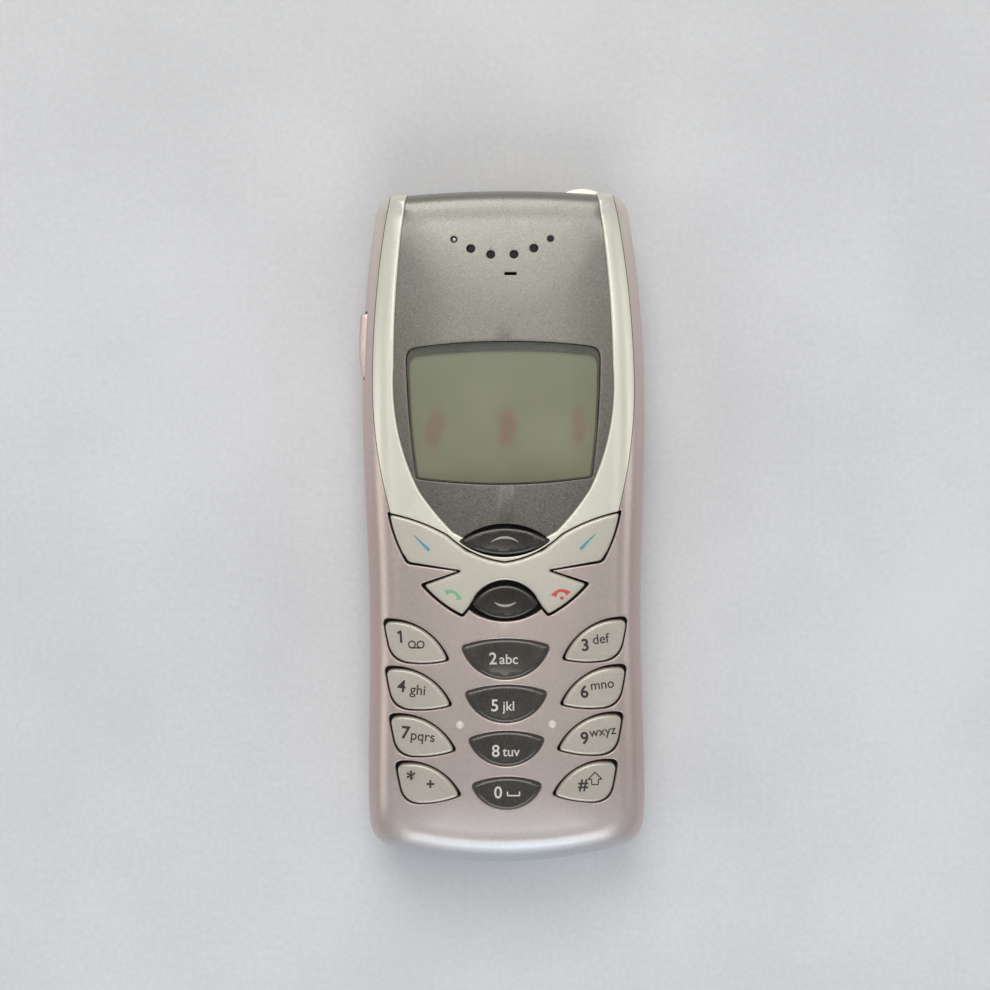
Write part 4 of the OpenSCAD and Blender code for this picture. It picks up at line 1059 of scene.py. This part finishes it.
def scroll_keys():
    top = bowl(-2.1, 29.7, 30.0)
    s = 2.3 - GAP
    pts = outline(shift_in(UP_V, 0.1), [s, s], [0.5, 0.5], 0.25)
    up = capped("scroll_up_cap", pts, FLANGE_Z, top, 0.4, 0.4)
    dress(joined([up, stem(0, -2.1)], "scroll_up_cap"), "scroll", "scroll_up_key_body",
          "scroll_up_key", "key_graphite")
    mark = strip(curve(0, -5.05, 3.4, 53, 127), lambda t: 0.36 - 1.2 * (t - 0.5) ** 2, top)
    mark.name = "scroll_up_mark"
    dress(mark, "ink_mark", "scroll_up_key_body")
    top = bowl(-11.6, 24.7, 25.0)
    down = capped("scroll_down_cap", outline(DOWN_V, DOWN_S, [0.5, 0.5], 0.25), FLANGE_Z, top, 0.4, 0.4)
    dress(joined([down, stem(0, -11.8)], "scroll_down_cap"), "scroll", "scroll_down_key_body",
          "scroll_down_key", "key_graphite")
    mark = strip(curve(0, -9.25, 2.6, 232, 308), lambda t: 0.38 - 1.2 * (t - 0.5) ** 2, top)
    mark.name = "scroll_down_mark"
    dress(mark, "ink_mark", "scroll_down_key_body")


def edge_keys():
    y0, w = Y_TOP - 2.2, 3.0
    v = [(POWER_X - w, y0), (POWER_X + w, y0), (POWER_X + w, Y_TOP - 0.95), (POWER_X - w, Y_TOP - 0.75)]
    pts = outline(v, [0, 0, 0.75, 0], [0, 0, 0.5, 0.3], 0.3)
    key = capped("power_key_cap", pts, POWER_Z - 1.1, lambda x, y: POWER_Z + 1.1, 0.3, 0.6)
    tab = box(POWER_X - 2.2, POWER_X + 2.2, 46.75, y0 + 0.1, POWER_Z - 0.55, POWER_Z + 0.9)
    dress(joined([key, tab], "power_key_cap"), "bezel", "power_key_body", "power_key", "bezel_silver")
    x0 = -BODY_HW + 0.1
    v = [(x0 + 1.8, VOLUME_Y - 4.9), (x0 + 1.8, VOLUME_Y + 4.9), (x0, VOLUME_Y + 4.9),
         (x0, VOLUME_Y - 4.9)]
    pts = outline(v, [0, 0, 0.35, 0], [0, 0, 0.6, 0.6], 0.3)
    key = capped("volume_key_cap", pts, VOLUME_Z - 1.2, lambda x, y: VOLUME_Z + 1.2, 0.3, 0.6)
    dress(key, "cover", "volume_key_body", "volume_key", "cover_paint")


# ---- the room ----------------------------------------------------------------------------------
def stage():
    floor = make("floor", [(-900, -900, 0), (900, -900, 0), (900, 900, 0), (-900, 900, 0)], [[0, 1, 2, 3]])
    floor.data.materials.append(floor_material())
    world = bpy.data.worlds.new("room")
    world.use_nodes = True
    world.node_tree.nodes["Background"].inputs[0].default_value = (0.92, 0.95, 1.0, 1)
    world.node_tree.nodes["Background"].inputs[1].default_value = 0.3
    bpy.context.scene.world = world
    for name, place, size, watts in (
            ("window_light", (-0.06, 0.5, 0.6), 0.4, 2.3),
            ("ceiling_light", (0.03, 0.24, 0.95), 0.4, 1.5),
            ("low_light", (0.02, -0.55, 0.5), 0.4, 1.5),
            ("rim_light", (0.0, -0.55, 0.2), 0.3, 0.3),
            ("left_light", (-0.62, -0.05, 0.4), 0.3, 0.55),
            ("right_light", (0.62, 0.05, 0.4), 0.3, 0.45)):
        lamp = bpy.data.lights.new(name, "AREA")
        lamp.size, lamp.energy = size, watts
        cool = name in ("low_light", "rim_light")
        lamp.color = (0.86, 0.94, 1.0) if cool else (1.0, 0.975, 0.92)
        obj = bpy.data.objects.new(name, lamp)
        obj.location = place
        obj.rotation_euler = (-Vector(place)).to_track_quat("-Z", "Y").to_euler()
        bpy.context.scene.collection.objects.link(obj)
    cam = bpy.data.cameras.new("camera")
    cam.sensor_width, cam.lens = 36.0, 56.0
    eye = bpy.data.objects.new("camera", cam)
    eye.location = (-0.0014, 0.0047, 0.2475)
    eye.rotation_euler = (0, 0, math.radians(-0.47))
    bpy.context.scene.collection.objects.link(eye)
    bpy.context.scene.camera = eye
    bpy.context.scene.view_settings.view_transform = "Standard"


front_cover()
pips()
bezel_frame()
window_panel()
display()
bead()
ear_gauze()
back_parts()
digit_keys()
function_keys()
scroll_keys()
edge_keys()
for node, look in CAD_LOOK.items():
    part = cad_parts[node]
    part.data.materials.clear()
    part.data.materials.append(M[look])
stage()
